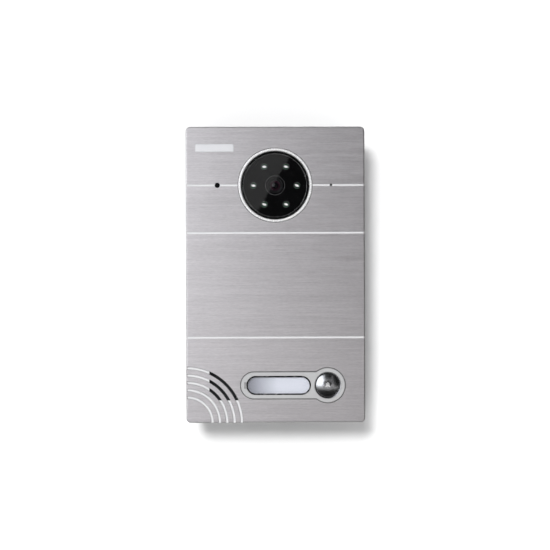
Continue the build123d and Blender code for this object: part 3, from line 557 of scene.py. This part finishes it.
boxes = islands("capacitors")
_, _, can_r, can_top, can_foot = placed(boxes[0])
vent, shoulder, crimp = can_top + 0.25 * MM, can_top + 0.3 * MM, can_foot - 1.5 * MM
can = turn(bmesh.new(), 0, 0, [
    (0, vent), (can_r - 0.9 * MM, vent), (can_r - 0.55 * MM, can_top), (can_r, shoulder),
    (can_r, crimp - 0.4 * MM), (can_r - 0.35 * MM, crimp), (can_r, crimp + 0.4 * MM), (can_r, can_foot),
    (0, can_foot)], around=40, soft=0.15 * MM)
cans = repeat("sleeved_capacitors", as_piece("one_can", can), [(x, 0, z) for x, z, *_ in map(placed, boxes)],
              capacitor_sleeve(), 6.28, seed=4)
belongs(cans, "panel", "can", "capacitors")


# ---------------- network socket and door terminals
# A black eight-way socket with gold-flashed sprung contacts, and a green pull-off terminal block on its header,
# each way with a slotted clamp screw.
wear(spark_eroded_plastic("socket_black", (0.024, 0.024, 0.026), 0.42, 3600), "network_jack")


gold = grained("gold_flash", (0.72, 0.50, 0.19), (0.88, 0.66, 0.30), (0.15, 0.32), (5000, 600, 5000),
               metallic=1.0)
boxes = islands("jack_contacts")
_, _, half, back, front = placed(boxes[0])
reach, half_thick, bow = front - back, 0.1 * MM, 0.12 * MM
contact = loft(bmesh.new(), [[(sx * half, -share * reach, z + sz * half_thick) for sx, sz in corners_of_square]
                             for share, z in ((0.0, 0.0), (0.1, bow), (0.75, 0.0), (0.92, -bow), (1.0, 0.0))])
contacts = repeat("sprung_contacts", as_piece("one_contact", contact),
                  [(x, -back, z) for x, z, _, back, _ in map(placed, boxes)], gold)
belongs(contacts, "panel", "gold", "jack_contacts")

wear(spark_eroded_plastic("terminal_green", (0.018, 0.20, 0.06), 0.42, 2600), "terminal_header",
     "terminal_plug")

boxes = islands("terminal_screws")
low, high = boxes[0]
clamp_r, clamp_h, edge = (high.x - low.x) / 2, high.z - low.z, 0.15 * MM
head = turn(bmesh.new(), 0, 0, [(0, 0), (clamp_r, 0), (clamp_r, clamp_h - edge), (clamp_r - edge, clamp_h),
                                (0, clamp_h)], around=28, soft=0.05 * MM)
clamp = as_piece("one_clamp", head)
slit_long, slit_deep, slit_wide = 3 * MM, 0.9 * MM, 0.45 * MM
slit = bmesh.new()
bmesh.ops.create_cube(slit, size=1.0)
for corner in slit.verts:
    corner.co = (corner.co.x * slit_long, -clamp_h + corner.co.y * slit_deep, corner.co.z * slit_wide)
cut_out(clamp, as_piece("clamp_slit", slit))
for corner in clamp.data.vertices:
    corner.co = (corner.co.x, -corner.co.z, -corner.co.y)
clamps = repeat("clamp_screws", clamp, [((a.x + b.x) / 2, (a.y + b.y) / 2, a.z) for a, b in boxes], zinc)
belongs(clamps, "plug", "screw_steel", "terminal_screws")


# ---------------- ribbon and speaker leads
# The camera's flat flexible lead is an amber film over bright tracks; the speaker's two leads have soft black
# insulation.
def amber_film():
    made, tree, shader = finish_of("amber_film", (0.48, 0.20, 0.03), 0.25, IOR=1.6)
    across = parts_of(tree, on_piece(tree, (2000, 1, 1)))[0]
    tracks = reckon(tree, reckon(tree, reckon(tree, across, math.pi), 0.0, "SINE"), 0.1, "GREATER_THAN")
    feed(tree, shader, Base_Color=mixed(tree, tracks, (0.36, 0.13, 0.015), (0.62, 0.30, 0.07)),
         Roughness=span(tree, grain(tree, 400), 0.18, 0.34))
    emboss(tree, shader, tracks, 0.00002)
    return made


wear(amber_film(), "camera_ribbon")
wear(spark_eroded_plastic("lead_insulation", (0.025, 0.025, 0.027), 0.5, 1800), "speaker_leads")


# ---------------- silicone parts
# Soft grey silicone: the cord in the seam between case and chassis, and the boot that holds the microphone. It
# is moulded in a fine-grained tool and picks up dust.
def soft_silicone():
    made, tree, shader = finish_of("soft_silicone", (0.06, 0.06, 0.064), 0.5, Sheen_Weight=0.2)
    dust = grain(tree, 260, 5)
    feed(tree, shader, Base_Color=shades(tree, dust, (0.045, 0.045, 0.048), (0.10, 0.10, 0.105), 0.4, 0.75),
         Roughness=span(tree, dust, 0.42, 0.64))
    emboss(tree, shader, grain(tree, 3000), 0.00001)
    return made


wear(soft_silicone(), "case_seal", "microphone_boot")


# ---------------- speaker
# A 30 mm speaker: pressed paper cone with a rolled surround, sintered magnet and tinned basket. Behind the
# slots of the face lies a woven mesh of black wire.
wear(grained("pressed_paper", (0.028, 0.028, 0.03), (0.085, 0.085, 0.09), (0.75, 0.95), (900, 2600, 900), 6,
             0.7, relief=0.00006), "speaker_cone")
wear(grained("sintered_ferrite", (0.05, 0.05, 0.053), (0.13, 0.13, 0.135), (0.5, 0.75), 1600, 6, 0.7,
             relief=0.00003, metallic=0.3), "speaker_magnet")


def woven_mesh_tree():
    """Straight wires both ways, each lifted over and under the wires that it crosses."""
    tree, entry, leave = new_tree("woven_mesh", Width="Float", Height="Float", Pitch="Float", Wire="Float",
                                  Lift="Float", Finish="Material")
    woven = add(tree, "GeometryNodeJoinGeometry")
    step = reckon(tree, math.pi, entry["Pitch"], "DIVIDE")
    for across, along, sign, spin in (("Width", "Height", 1.0, math.pi / 2), ("Height", "Width", -1.0, 0.0)):
        half = reckon(tree, entry[along], 0.5)
        less = reckon(tree, half, -1.0)
        ends = [out(tree, "ShaderNodeCombineXYZ", {"X": value}) for value in (less, half)]
        wire = out(tree, "GeometryNodeCurvePrimitiveLine", {"Start": ends[0], "End": ends[1]})
        crossings = reckon(tree, entry[along], entry["Pitch"], "DIVIDE")
        divided = add(tree, "GeometryNodeResampleCurve", {"Curve": wire, "Count": reckon(tree, crossings, 4.0)})
        count = reckon(tree, entry[across], entry["Pitch"], "DIVIDE")
        row_half = reckon(tree, reckon(tree, reckon(tree, count, 0.0, "FLOOR"), entry["Pitch"]), -0.5)
        axis = "Z" if spin == 0 else "X"
        first, pace = [out(tree, "ShaderNodeCombineXYZ", {axis: value})
                       for value in (row_half, entry["Pitch"])]
        number = reckon(tree, count, 1.0, "ADD")
        row = out(tree, "GeometryNodeMeshLine", {"Count": number, "Start Location": first,
                                                 "Offset": pace}, mode="OFFSET")
        wires = out(tree, "GeometryNodeInstanceOnPoints", {"Points": row, "Instance": divided.outputs[0],
                                                           "Rotation": (0, spin, 0)})
        real = out(tree, "GeometryNodeRealizeInstances", {"Geometry": wires})
        x, _, z = parts_of(tree, out(tree, "GeometryNodeInputPosition"))
        waves = [reckon(tree, reckon(tree, place, step), 0.0, "COSINE") for place in (x, z)]
        lift = reckon(tree, reckon(tree, reckon(tree, waves[0], waves[1]), entry["Lift"]), sign)
        offset = out(tree, "ShaderNodeCombineXYZ", {"Y": lift})
        waved = out(tree, "GeometryNodeSetPosition", {"Geometry": real, "Offset": offset})
        profile = add(tree, "GeometryNodeCurvePrimitiveCircle", {"Resolution": 5, "Radius": entry["Wire"]})
        tube = out(tree, "GeometryNodeCurveToMesh", {"Curve": waved, "Profile Curve": profile.outputs[0],
                                                     "Fill Caps": True})
        tree.links.new(tube, woven.inputs[0])
    smooth = out(tree, "GeometryNodeSetShadeSmooth", {"Geometry": woven.outputs[0]})
    end_tree(tree, leave, smooth, entry["Finish"])
    return tree


low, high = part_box("speaker_mesh")
border = 0.6 * MM
black_wire = grained("black_wire", (0.006, 0.006, 0.007), (0.02, 0.02, 0.022), (0.4, 0.65), 6000, IOR=1.5)
mesh = run_tree(woven_mesh_tree(), points_at("woven_mesh_panel", []), Width=high.x - low.x - border,
                Height=high.z - low.z - border, Pitch=0.9 * MM, Wire=0.12 * MM, Lift=0.075 * MM,
                Finish=black_wire)
for corner in mesh.data.vertices:
    corner.co += (low + high) / 2
belongs(mesh, "panel", "mesh", "speaker_mesh")


# ---------------- camera
# Behind a smoked window with a bevelled rim stand a black mask, six clear lamps with silvered cups, and the
# lens in its black turned barrel. A turned, polished ring holds the window.
def polished_metal(name, colour, roughness=0.12, metallic=1.0):
    return grained(name, 0.93, colour, (0.7 * roughness, 1.5 * roughness), 1400, 4, relief=0.000002,
                   cloud=(60, 3), metallic=metallic)


cam_x, cam_z, ring_r, ring_back, ring_front = placed(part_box("camera_ring"))
_, _, window_r, window_back, window_front = placed(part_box("camera_window"))
ring_in, mouth_r, ledge = 20.5 * MM, window_r + 0.1 * MM, ring_back + 0.9 * MM
ring = turn(bmesh.new(), cam_x, cam_z, [
    (ring_in, ring_back), (ring_r, ring_back), (ring_r, ring_front - 0.45 * MM),
    (ring_r - 0.4 * MM, ring_front), (mouth_r + 0.35 * MM, ring_front), (mouth_r, ring_front - 0.4 * MM),
    (mouth_r, ledge), (ring_in, ledge)], around=180, soft=0.12 * MM)
bright = polished_metal("polished_aluminium", (0.86, 0.86, 0.865), 0.24, 0.4)
belongs(as_piece("polished_ring", ring, bright), "panel", "bright_ring", "camera_ring")


def smoked_glass():
    made, tree, shader = finish_of("smoked_glass", (0.002, 0.002, 0.0022), 0.02, IOR=3.0, Alpha=0.14)
    haze = grain(tree, 90, 4)
    feed(tree, shader, Base_Color=shades(tree, haze, (0.0015, 0.0015, 0.0017), (0.003, 0.003, 0.0034)),
         Roughness=span(tree, haze, 0.01, 0.03, 0.4, 0.8))
    return made


window = turn(bmesh.new(), cam_x, cam_z, [
    (0, window_back), (window_r - 0.25 * MM, window_back), (window_r, window_back),
    (window_r, window_front - 0.5 * MM), (window_r - 1.1 * MM, window_front),
    (window_r - 1.35 * MM, window_front), (0, window_front)], around=180, soft=0.08 * MM)
belongs(as_piece("smoked_window", window, smoked_glass()), "panel", "smoked_glass", "camera_window")

wear(grained("mask_black", (0.002, 0.002, 0.0022), (0.006, 0.006, 0.0065), (0.6, 0.85), 4200, relief=0.00001,
             Specular_IOR_Level=0.0), "camera_mask", "lens_holder", "window_seal")


def clear_plastic(name, colour, scale, detail, **sockets):
    made, tree, shader = finish_of(name, colour, 0.04, **sockets)
    feed(tree, shader, Roughness=span(tree, grain(tree, scale, detail), 0.02, 0.09))
    return made


boxes = islands("ir_leds")
_, _, lamp_r, foot, tip = placed(boxes[0])
dome = [(lamp_r * math.cos(a), tip - lamp_r + lamp_r * math.sin(a)) for a in
        (math.radians(10 * i) for i in range(9))]
lamp = turn(bmesh.new(), 0, 0, [(0, foot), (lamp_r, foot)] + dome + [(0, tip)], around=40)
at_lamps = [(x, 0, z) for x, z, *_ in map(placed, boxes)]
epoxy = clear_plastic("clear_epoxy", (0.75, 0.78, 0.84), 700, 3.0, IOR=1.7, Alpha=0.06)
lamps = repeat("lamp_domes", as_piece("one_lamp", lamp), at_lamps, epoxy, 6.28, seed=2)
belongs(lamps, "panel", "lamp_epoxy", "ir_leds")

frame_top, half_long, half_wide = tip - 1.0 * MM, 1.45 * MM, 0.66 * MM


def lemon(scale, depth, steps=12):
    """The pointed oval outline of a lamp's lead frame, at one distance from the wall."""
    long, wide = half_long * scale, half_wide * (0.4 + 0.6 * scale)
    turns = [math.pi * i / steps for i in range(2 * steps)]
    return [(long * math.cos(a), -depth, wide * math.sin(a) * abs(math.sin(a)) ** 0.5) for a in turns]


lead_frame = loft(bmesh.new(), [lemon(s, d) for s, d in (
    (1.0, foot + 0.1 * MM), (1.0, frame_top - 0.1 * MM), (0.94, frame_top), (0.6, frame_top - 0.1 * MM),
    (0.3, frame_top - 0.45 * MM), (0.12, frame_top - 0.45 * MM), (0.1, frame_top - 0.3 * MM))])
# The silver glows a little, to stand for the light that its cup gathers.
silver = grained("silvered_frame", (0.86, 0.86, 0.86), (0.98, 0.98, 0.98), (0.2, 0.4), 900, metallic=0.1,
                 Emission_Strength=0.35)
frames = repeat("lamp_frames", as_piece("one_frame", lead_frame), at_lamps, silver, 0.5, seed=6)
belongs(frames, "panel", "lamp_epoxy")

mask_front = -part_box("camera_mask")[0].y
lamp_rim_in, lamp_rim_out, lens_rim_in, lens_rim_out = 2.1 * MM, 2.22 * MM, 6.14 * MM, 6.27 * MM
# Thin grey rings round the lamp holes and the lens are painted highlights, where the flared edges of the mask's
# holes would catch light.
rim_glints = bmesh.new()
for x, _, z in at_lamps:
    turn(rim_glints, x, z, [(lamp_rim_in, mask_front - 0.25 * MM), (lamp_rim_out, mask_front - 0.25 * MM),
                      (lamp_rim_out, mask_front - 0.08 * MM), (lamp_rim_in, mask_front - 0.08 * MM)], around=40)
turn(rim_glints, cam_x, cam_z, [(lens_rim_in, mask_front - 0.2 * MM), (lens_rim_out, mask_front - 0.2 * MM),
                          (lens_rim_out + 0.03 * MM, mask_front - 0.02 * MM),
                          (lens_rim_in + 0.02 * MM, mask_front - 0.02 * MM)], around=120)
belongs(as_piece("mask_rims", rim_glints, spark_eroded_plastic("rim_glint_grey", (0.15, 0.15, 0.155), 0.5, 3000)), "panel",
        "black_blind")

_, _, thread_r, barrel_back, barrel_front = placed(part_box("lens_barrel"))
nose_r, bore_r, throat_r, pitch = 5.4 * MM, 3.0 * MM, 3.4 * MM, 0.5 * MM
profile = [(bore_r, barrel_back)]
depth = barrel_back
while depth < barrel_back + 6.2 * MM:
    profile += [(thread_r - 0.3 * MM, depth), (thread_r, depth + 0.5 * pitch)]
    depth += pitch
profile += [(nose_r, depth + 0.3 * MM), (nose_r, barrel_front - 0.3 * MM), (5.15 * MM, barrel_front),
            (4.85 * MM, barrel_front)]
for step in range(3):
    shelf = barrel_front - (0.25 + 0.2 * step) * MM
    profile += [((4.75 - 0.45 * step) * MM, shelf), ((4.4 - 0.45 * step) * MM, shelf)]
profile += [(throat_r, barrel_front - 0.75 * MM), (throat_r, barrel_front - 3.2 * MM),
            (bore_r, barrel_front - 3.2 * MM)]
anodised = grained("black_anodised", (0.006, 0.006, 0.0065), (0.018, 0.018, 0.02), (0.26, 0.46),
                   (260, 9000, 260), relief=0.00001, metallic=0.6)
barrel = as_piece("turned_barrel", turn(bmesh.new(), cam_x, cam_z, profile, around=96, soft=0.04 * MM), anodised)
belongs(barrel, "panel", "black_barrel", "lens_barrel")

_, _, glass_r, glass_back, glass_front = placed(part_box("lens_glass"))
ball_r = 5.0 * MM


def coated_lens():
    made, tree, shader = finish_of("coated_lens", (0.02, 0.012, 0.03), 0.03, IOR=1.4)
    middle = (cam_x, -glass_front, cam_z)
    from_middle = add(tree, "ShaderNodeVectorMath", {0: on_piece(tree, centre=middle)}, operation="LENGTH")
    # Purple rises from the middle towards the rim: a painted reflection of the lens coating.
    coating_reflection_share = span(tree, from_middle.outputs["Value"], 0.0, 1.0, 0.3 * glass_r, glass_r)
    feed(tree, shader, Base_Color=shades(tree, coating_reflection_share, (0.002, 0.002, 0.003), (0.045, 0.018, 0.03), 0.3, 1.0),
         Roughness=span(tree, grain(tree, 300), 0.01, 0.03))
    return made


crown = [glass_r * math.sin(a) / math.sin(1.2) for a in (1.2 - 0.12 * i for i in range(10))]
crown = [(r, glass_front - ball_r + math.sqrt(ball_r ** 2 - r ** 2)) for r in crown] + [(0, glass_front)]
lens = as_piece("front_lens", turn(bmesh.new(), cam_x, cam_z, [(0, glass_back), (glass_r, glass_back)] + crown,
                                   around=96), coated_lens())
belongs(lens, "panel", "lens", "lens_glass")


# ---------------- light sensor and microphone
# A light pipe of dark, smoked acrylic ends half a millimetre behind the left hole of the face; the right,
# smaller hole opens into the microphone's rubber boot.
def cloudy_acrylic(name, colour, roughness, shine=0.5):
    return grained(name, 0.94, colour, (0.8 * roughness, 1.3 * roughness), 160, 4, IOR=1.49,
                   Specular_IOR_Level=shine)


wear(cloudy_acrylic("smoked_acrylic", (0.002, 0.002, 0.0022), 0.45, 0.08), "light_pipe")


# ---------------- name plate
# A satin keyhole-shaped trim holds a clear snap-in window with a bevelled rim, which carries painted reflections
# in dark and bright dashes. Behind it lie the paper card, a milky light guide and four white lamps.
def satin_aluminium(name, colour):
    return grained(name, 0.9, colour, (0.32, 0.48), 5200, 4, relief=0.000008, cloud=((30, 30, 60), 3),
                   metallic=0.6)


wear(satin_aluminium("satin_aluminium", (0.60, 0.60, 0.602)), "name_trim")


def pill(middle_x, middle_z, width, height, depth, steps=20):
    """The corners of an outline with round ends, at one distance from the wall."""
    r, straight = height / 2, (width - height) / 2
    turns = [(side, math.radians(90 - 90 * (1 - side) - 180 * i / steps)) for side in (1, -1) for i in
             range(steps + 1)]
    return [(middle_x + side * straight + r * math.cos(a), -depth, middle_z + r * math.sin(a))
            for side, a in turns]


low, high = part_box("name_window")
name_x, name_z, _, back, front = placed((low, high))
name_w, name_h, bevel = high.x - low.x, high.z - low.z, 0.9 * MM
stages = [(0, back), (0, front - bevel), (0.06 * MM, front - bevel + 0.02 * MM), (0.82 * MM, front - 0.1 * MM),
          (bevel, front - 0.02 * MM), (1.0 * MM, front)]
clear = loft(bmesh.new(), [pill(name_x, name_z, name_w - 2 * inset, name_h - 2 * inset, depth)
                           for inset, depth in stages], [1, 1, 1, 0, 0])
acrylic = clear_plastic("clear_acrylic", (0.86, 0.88, 0.95), 120, 4, IOR=1.8, Alpha=0.08)
# The bevel's dark and bright dashes along its length are painted reflections.
bevel_reflection_dashes = grained("bevel_painted_reflection", (0.015, 0.015, 0.017), (0.7, 0.7, 0.71), (0.1, 0.26),
                       (330, 100, 330), 4, 0.7, between=(0.5, 0.64), metallic=1.0)
belongs(as_piece("clear_name_window", clear, acrylic, bevel_reflection_dashes, sharp=25), "window",
        "clear_window", "name_window")


def plain_card():
    made, tree, shader = finish_of("plain_card", (0.80, 0.81, 0.90), 0.7)
    across = parts_of(tree, on_piece(tree))[0]
    # The card grows dark towards its left end: painted shade.
    shade_to_left_end = span(tree, across, 0.0, 1.0, name_x - 0.5 * name_w, name_x - 0.02 * name_w)
    fibre = grain(tree, 2200, 4)
    sheet = mixed(tree, shade_to_left_end, (0.035, 0.037, 0.06), (0.52, 0.54, 0.6))
    feed(tree, shader, Base_Color=mixed(tree, span(tree, fibre, 0, 0.08), sheet, (0.5, 0.5, 0.55)),
         Roughness=span(tree, fibre, 0.6, 0.8))
    emboss(tree, shader, fibre, 0.00001)
    return made


wear(plain_card(), "name_card")
wear(cloudy_acrylic("milky_acrylic", (0.82, 0.83, 0.86), 0.3), "name_light_guide")
wear(grained("phosphor", (0.86, 0.80, 0.45), (0.93, 0.92, 0.80), (0.35, 0.6), 4000), "backlight_leds")


# ---------------- call button
# A domed cap in dark metallised plastic inside a polished, funnel-shaped ring. A clear insert in its top
# carries a plain raised bell; under the cap a stem meets the switch on the button board.
button_x, button_z, bezel_r, bezel_back, bezel_front = placed(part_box("button_bezel"))
bezel_in, funnel = 7.75 * MM, 1.1 * MM
bezel = turn(bmesh.new(), button_x, button_z, [
    (bezel_in, bezel_back), (bezel_r, bezel_back), (bezel_r, bezel_front), (bezel_r - 0.35 * MM, bezel_front),
    (bezel_in, bezel_front - funnel)], around=120, soft=0.08 * MM)
belongs(as_piece("polished_bezel", bezel, polished_metal("dark_chrome", (0.55, 0.55, 0.56), 0.1)), "panel",
        "bright_ring", "button_bezel")

_, _, flange_r, stem_end, _ = placed(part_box("call_button"))
_, _, insert_r, icon_seat, cap_top = placed(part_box("button_icon"))
gap = 0.02 * MM
icon_r = insert_r + gap
cap_r, rise, stem_r = 7.6 * MM, 1.6 * MM, 2.5 * MM
dome_r = (cap_r ** 2 + rise ** 2) / (2 * rise)


def dome_at(radius):
    return cap_top - dome_r + math.sqrt(dome_r ** 2 - radius ** 2)


flange_front, flange_back = cap_top - 4.1 * MM, cap_top - 5.4 * MM
steps = 14
rounded_top = [(r, dome_at(r)) for r in (icon_r + (cap_r - icon_r) * i / steps for i in range(steps + 1))]
cap = turn(bmesh.new(), button_x, button_z, [(0, icon_seat), (icon_r, icon_seat)] + rounded_top + [
    (cap_r, flange_front), (flange_r, flange_front), (flange_r, flange_back), (stem_r, flange_back),
    (stem_r, stem_end), (0, stem_end)], around=128, soft=0.05 * MM)
metallised = grained("metallised_cap", (0.27, 0.27, 0.275), (0.46, 0.46, 0.47), (0.16, 0.28), 170, metallic=1.0,
                     Coat_Weight=0.4, Coat_Roughness=0.08)
belongs(as_piece("domed_cap", cap, metallised), "button", "button_cap", "call_button")

insert_low = 0.07 * MM
crown = [(min(r, icon_r - gap), dome_at(r) - insert_low) for r in (icon_r * (10 - i) / 10 for i in range(11))]
insert = turn(bmesh.new(), button_x, button_z, [(0, icon_seat), (icon_r - gap, icon_seat)] + crown, around=72)
gloss = polished_metal("insert_gloss", (0.30, 0.30, 0.31), 0.08, 0.9)
belongs(as_piece("clear_insert", insert, gloss), "button", "icon_insert", "button_icon")

bell_size = 2.1 * MM
half_bell = [(0.0, 1.0), (0.16, 1.0), (0.2, 0.84), (0.42, 0.68), (0.52, 0.4), (0.56, 0.0), (0.66, -0.32),
             (0.86, -0.5), (0.86, -0.6), (0.0, -0.6)]
outline = half_bell + [(-x, z) for x, z in half_bell[-2:0:-1]]
clapper = [(0.24 * math.cos(a), -0.74 + 0.2 * math.sin(a)) for a in
           (math.radians(-180 + 15 * i) for i in range(13))]
bell = bmesh.new()
for shape in (outline, clapper):
    spots = [(x * bell_size, z * bell_size * 0.95) for x, z in shape]
    loft(bell, [[(button_x + x, -(dome_at(math.hypot(x, z)) + lift), button_z + z) for x, z in spots]
                for lift in (-0.1 * MM, 0.0)])
bmesh.ops.triangulate(bell, faces=[f for f in bell.faces if len(f.verts) > 4])
belongs(as_piece("bell_relief", bell, polished_metal("bell_silver", (0.95, 0.95, 0.95), 0.25)), "button",
        "icon_insert")
wear(spark_eroded_plastic("plunger_white", (0.72, 0.71, 0.67), 0.35, 2600), "switch_plunger")


# ---------------- face plate
# The 3 mm aluminium face: brushed crossways, anodised clear, then engraved. Lines and arcs go through the
# brushing to bare metal; their near-white floors are partly that metal and partly a painted highlight. The walls
# of holes deeper in carry painted shade, near-black. The outer arcs are slotted through over the speaker.
def brushed_aluminium():
    made, tree, shader = finish_of("brushed_aluminium", (0.66, 0.655, 0.655), 0.36, 1.0)
    fine = grain(tree, (70, 70, 2600), 2, 0.5)
    broad = grain(tree, (11, 11, 700), 3, 0.6)
    short = grain(tree, (420, 420, 1900), 2, 0.5)
    hair = grain(tree, (60, 60, 5200), 1, 0.5)
    streaks = reckon(tree, reckon(tree, reckon(tree, fine, 0.35), reckon(tree, broad, 0.35), "ADD"),
                     reckon(tree, short, 0.3), "ADD")
    metal = shades(tree, streaks, (0.555, 0.53, 0.538), (0.765, 0.735, 0.745), 0.3, 0.7)
    depth = parts_of(tree, on_piece(tree))[1]
    outward = parts_of(tree, add(tree, "ShaderNodeTexCoord").outputs["Normal"])[1]
    low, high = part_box("face_plate")
    middle, within = (low + high) / 2, (high.x - low.x) / 2 - 0.9 * MM
    from_middle = reckon(tree, parts_of(tree, on_piece(tree, centre=middle))[0], 0.0, "ABSOLUTE")
    inside = reckon(tree, from_middle, within, "LESS_THAN")
    # Floors of the lines and arcs that face the front: near-white and less metallic, partly bare metal and
    # partly a painted highlight.
    sunk = reckon(tree, reckon(tree, reckon(tree, depth, low.y + 0.12 * MM, "GREATER_THAN"), inside),
                  reckon(tree, outward, -0.6, "LESS_THAN"))
    # Surfaces deeper than the engraving, inside the outline: the walls of the slots and holes, painted
    # near-black as painted shade.
    shaded_bore_walls = reckon(tree, reckon(tree, depth, low.y + 0.56 * MM, "GREATER_THAN"), inside)
    cut_glint_and_bore_shade = mixed(tree, shaded_bore_walls, (0.81, 0.81, 0.815), (0.02, 0.02, 0.021))
    feed(tree, shader, Base_Color=mixed(tree, reckon(tree, sunk, shaded_bore_walls, "MAXIMUM"), metal, cut_glint_and_bore_shade),
         Metallic=span(tree, sunk, 1.0, 0.5, 0, 1),
         Roughness=reckon(tree, span(tree, hair, 0.3, 0.46), reckon(tree, sunk, 0.2), "ADD"))
    emboss(tree, shader, reckon(tree, hair, broad, "ADD"), 0.000008)
    return made


wear(brushed_aluminium(), "face_plate")
wear(satin_aluminium("badge_satin", (0.76, 0.76, 0.775)), "blank_badge")


# ---------------- studio
# A pale wall that the panel hangs on and a pale floor, neither of them seen from behind. Two suns and two back
# softboxes light the room. Two front softboxes and the cards show only in reflections, and three of the cards
# are flags that also keep light off the sides and the top.
def stage_plane(name, corners, material):
    mesh = bpy.data.meshes.new(name)
    mesh.from_pydata(corners, [], [tuple(range(len(corners)))])
    mesh.materials.append(material)
    plane = into_scene(name, mesh)
    return plane


def room_paint(name, colour, solid):
    """Matt paint that can't be seen from behind. Light passes through it, unless it is solid."""
    made, tree, shader = finish_of(name, colour, 0.9)
    seen = add(tree, "ShaderNodeLightPath").outputs["Is Camera Ray"]
    behind = add(tree, "ShaderNodeNewGeometry").outputs["Backfacing"]
    if solid:
        share = reckon(tree, 1.0, reckon(tree, seen, behind), "SUBTRACT")
    else:
        share = reckon(tree, seen, reckon(tree, 1.0, behind, "SUBTRACT"))
    clear = out(tree, "ShaderNodeBsdfTransparent")
    both = out(tree, "ShaderNodeMixShader", {0: share, 1: clear, 2: shader.outputs[0]})
    tree.links.new(both, tree.nodes["Material Output"].inputs["Surface"])
    return made


floor_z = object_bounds()[0].z - 0.16
stage_plane("wall", [(-3, 0.0006, floor_z), (3, 0.0006, floor_z), (3, 0.0006, 3), (-3, 0.0006, 3)],
            room_paint("wall_paint", (0.93, 0.93, 0.93), solid=False))
stage_plane("floor", [(-4, -4, floor_z), (4, -4, floor_z), (4, 4, floor_z), (-4, 4, floor_z)],
            room_paint("floor_paint", (0.85, 0.85, 0.84), solid=True))


def light(name, kind, energy, place, aim, size=(1.0, 1.0), colour=(1, 1, 1), angle=0.1):
    lamp = bpy.data.lights.new(name, kind)
    lamp.energy = energy
    lamp.color = colour
    if kind == "AREA":
        lamp.shape = "RECTANGLE"
        lamp.size, lamp.size_y = size
    else:
        lamp.angle = angle
    holder = into_scene(name, lamp)
    holder.location = place
    holder.rotation_euler = (Vector(aim) - Vector(place)).to_track_quat("-Z", "Y").to_euler()
    holder.visible_glossy = kind == "AREA"
    return holder


light("key_low", "SUN", 1.6, (-0.185, -1, 0.29), (0, 0, 0), angle=0.2)
light("key_steep", "SUN", 1.4, (-0.19, -1, 0.43), (0, 0, 0), angle=0.4)
reflected = [light("left_softbox", "AREA", 17.5, (-0.72, -1.18, 0.46), (0, 0, 0), (1.0, 1.8),
                   (0.925, 0.955, 1.0)),
             light("low_softbox", "AREA", 1.5, (0.3, -1.3, -0.4), (0, 0, 0), (1.3, 0.8), (1.0, 0.955, 0.96))]
for softbox in reflected:
    softbox.visible_diffuse = False
light("back_softbox", "AREA", 12.0, (0.6, 1.3, 0.7), (0, 0, 0), (1.2, 1.0))
light("back_fill", "AREA", 8.0, (-0.9, 1.1, 0.2), (0, 0, 0), (1.0, 1.0))


def card(name, corners, grey, flags=False):
    """A card that only reflections see: black, or with an even glow. A flag keeps light off as well."""
    made, tree, shader = finish_of(name, (grey, grey, grey), 1.0)
    glow = out(tree, "ShaderNodeEmission", {"Color": (1, 1, 1, 1), "Strength": grey})
    tree.links.new(glow, tree.nodes["Material Output"].inputs["Surface"])
    plane = stage_plane(name, corners, made)
    plane.visible_camera = plane.visible_diffuse = False
    plane.visible_shadow = flags


# The edge between the dark and the pale card slants across the camera window.
edge_low, edge_high = Vector((-0.0253, 0.0879)), Vector((0.0209, 0.1657))
along = (edge_high - edge_low).normalized()
across = Vector((along.y, -along.x))


def slanted(low_up, high_up, aside, card_y=-1.2):
    """The corners of a card on one side of that edge."""
    spots = [edge_low + along * up + across * side
             for up, side in ((low_up, 0), (high_up, 0), (high_up, aside), (low_up, aside))]
    return [(spot.x, card_y, spot.y) for spot in spots]


def upright(x, near_y, far_y, half_high=0.9):
    return [(x, near_y, -half_high), (x, far_y, -half_high), (x, far_y, half_high), (x, near_y, half_high)]


def level(z, half_wide, near_y, far_y):
    return [(-half_wide, near_y, z), (half_wide, near_y, z), (half_wide, far_y, z), (-half_wide, far_y, z)]


card("dark_card", slanted(-0.1, 0.2, 0.45), 0.0)
card("pale_card", slanted(-0.12, 0.21, -0.2), 0.4)
card("top_band", [(-0.3, -1.19, 0.38), (0.45, -1.19, 0.38), (0.45, -1.19, 0.9), (-0.3, -1.19, 0.9)], 0.0)
card("right_flag", upright(0.7, -1.4, 0.1), 0.02, True)
card("left_flag", upright(-0.6, -0.6, 0.1), 0.05, True)
card("top_flag", level(0.65, 0.8, -1.0, 0.1), 0.04, True)
card("low_flag", level(floor_z + 0.004, 0.8, -0.5, 0), 0.02)

world = bpy.data.worlds.new("soft_room")
world.use_nodes = True
sky = world.node_tree.nodes["Background"].inputs
sky["Color"].default_value = (0.98, 0.98, 1.0, 1)
sky["Strength"].default_value = 0.355
bpy.context.scene.world = world
bpy.context.scene.view_settings.view_transform = "Standard"

lens_data = bpy.data.cameras.new("front_camera")
lens_data.lens = 100
lens_data.sensor_width = 36
lens_data.clip_start = 0.01
camera = into_scene("front_camera", lens_data)
camera.location = (-0.00026, -1.036, -0.00023)
camera.rotation_euler = (math.radians(90), math.radians(0.17), 0)
bpy.context.scene.camera = camera
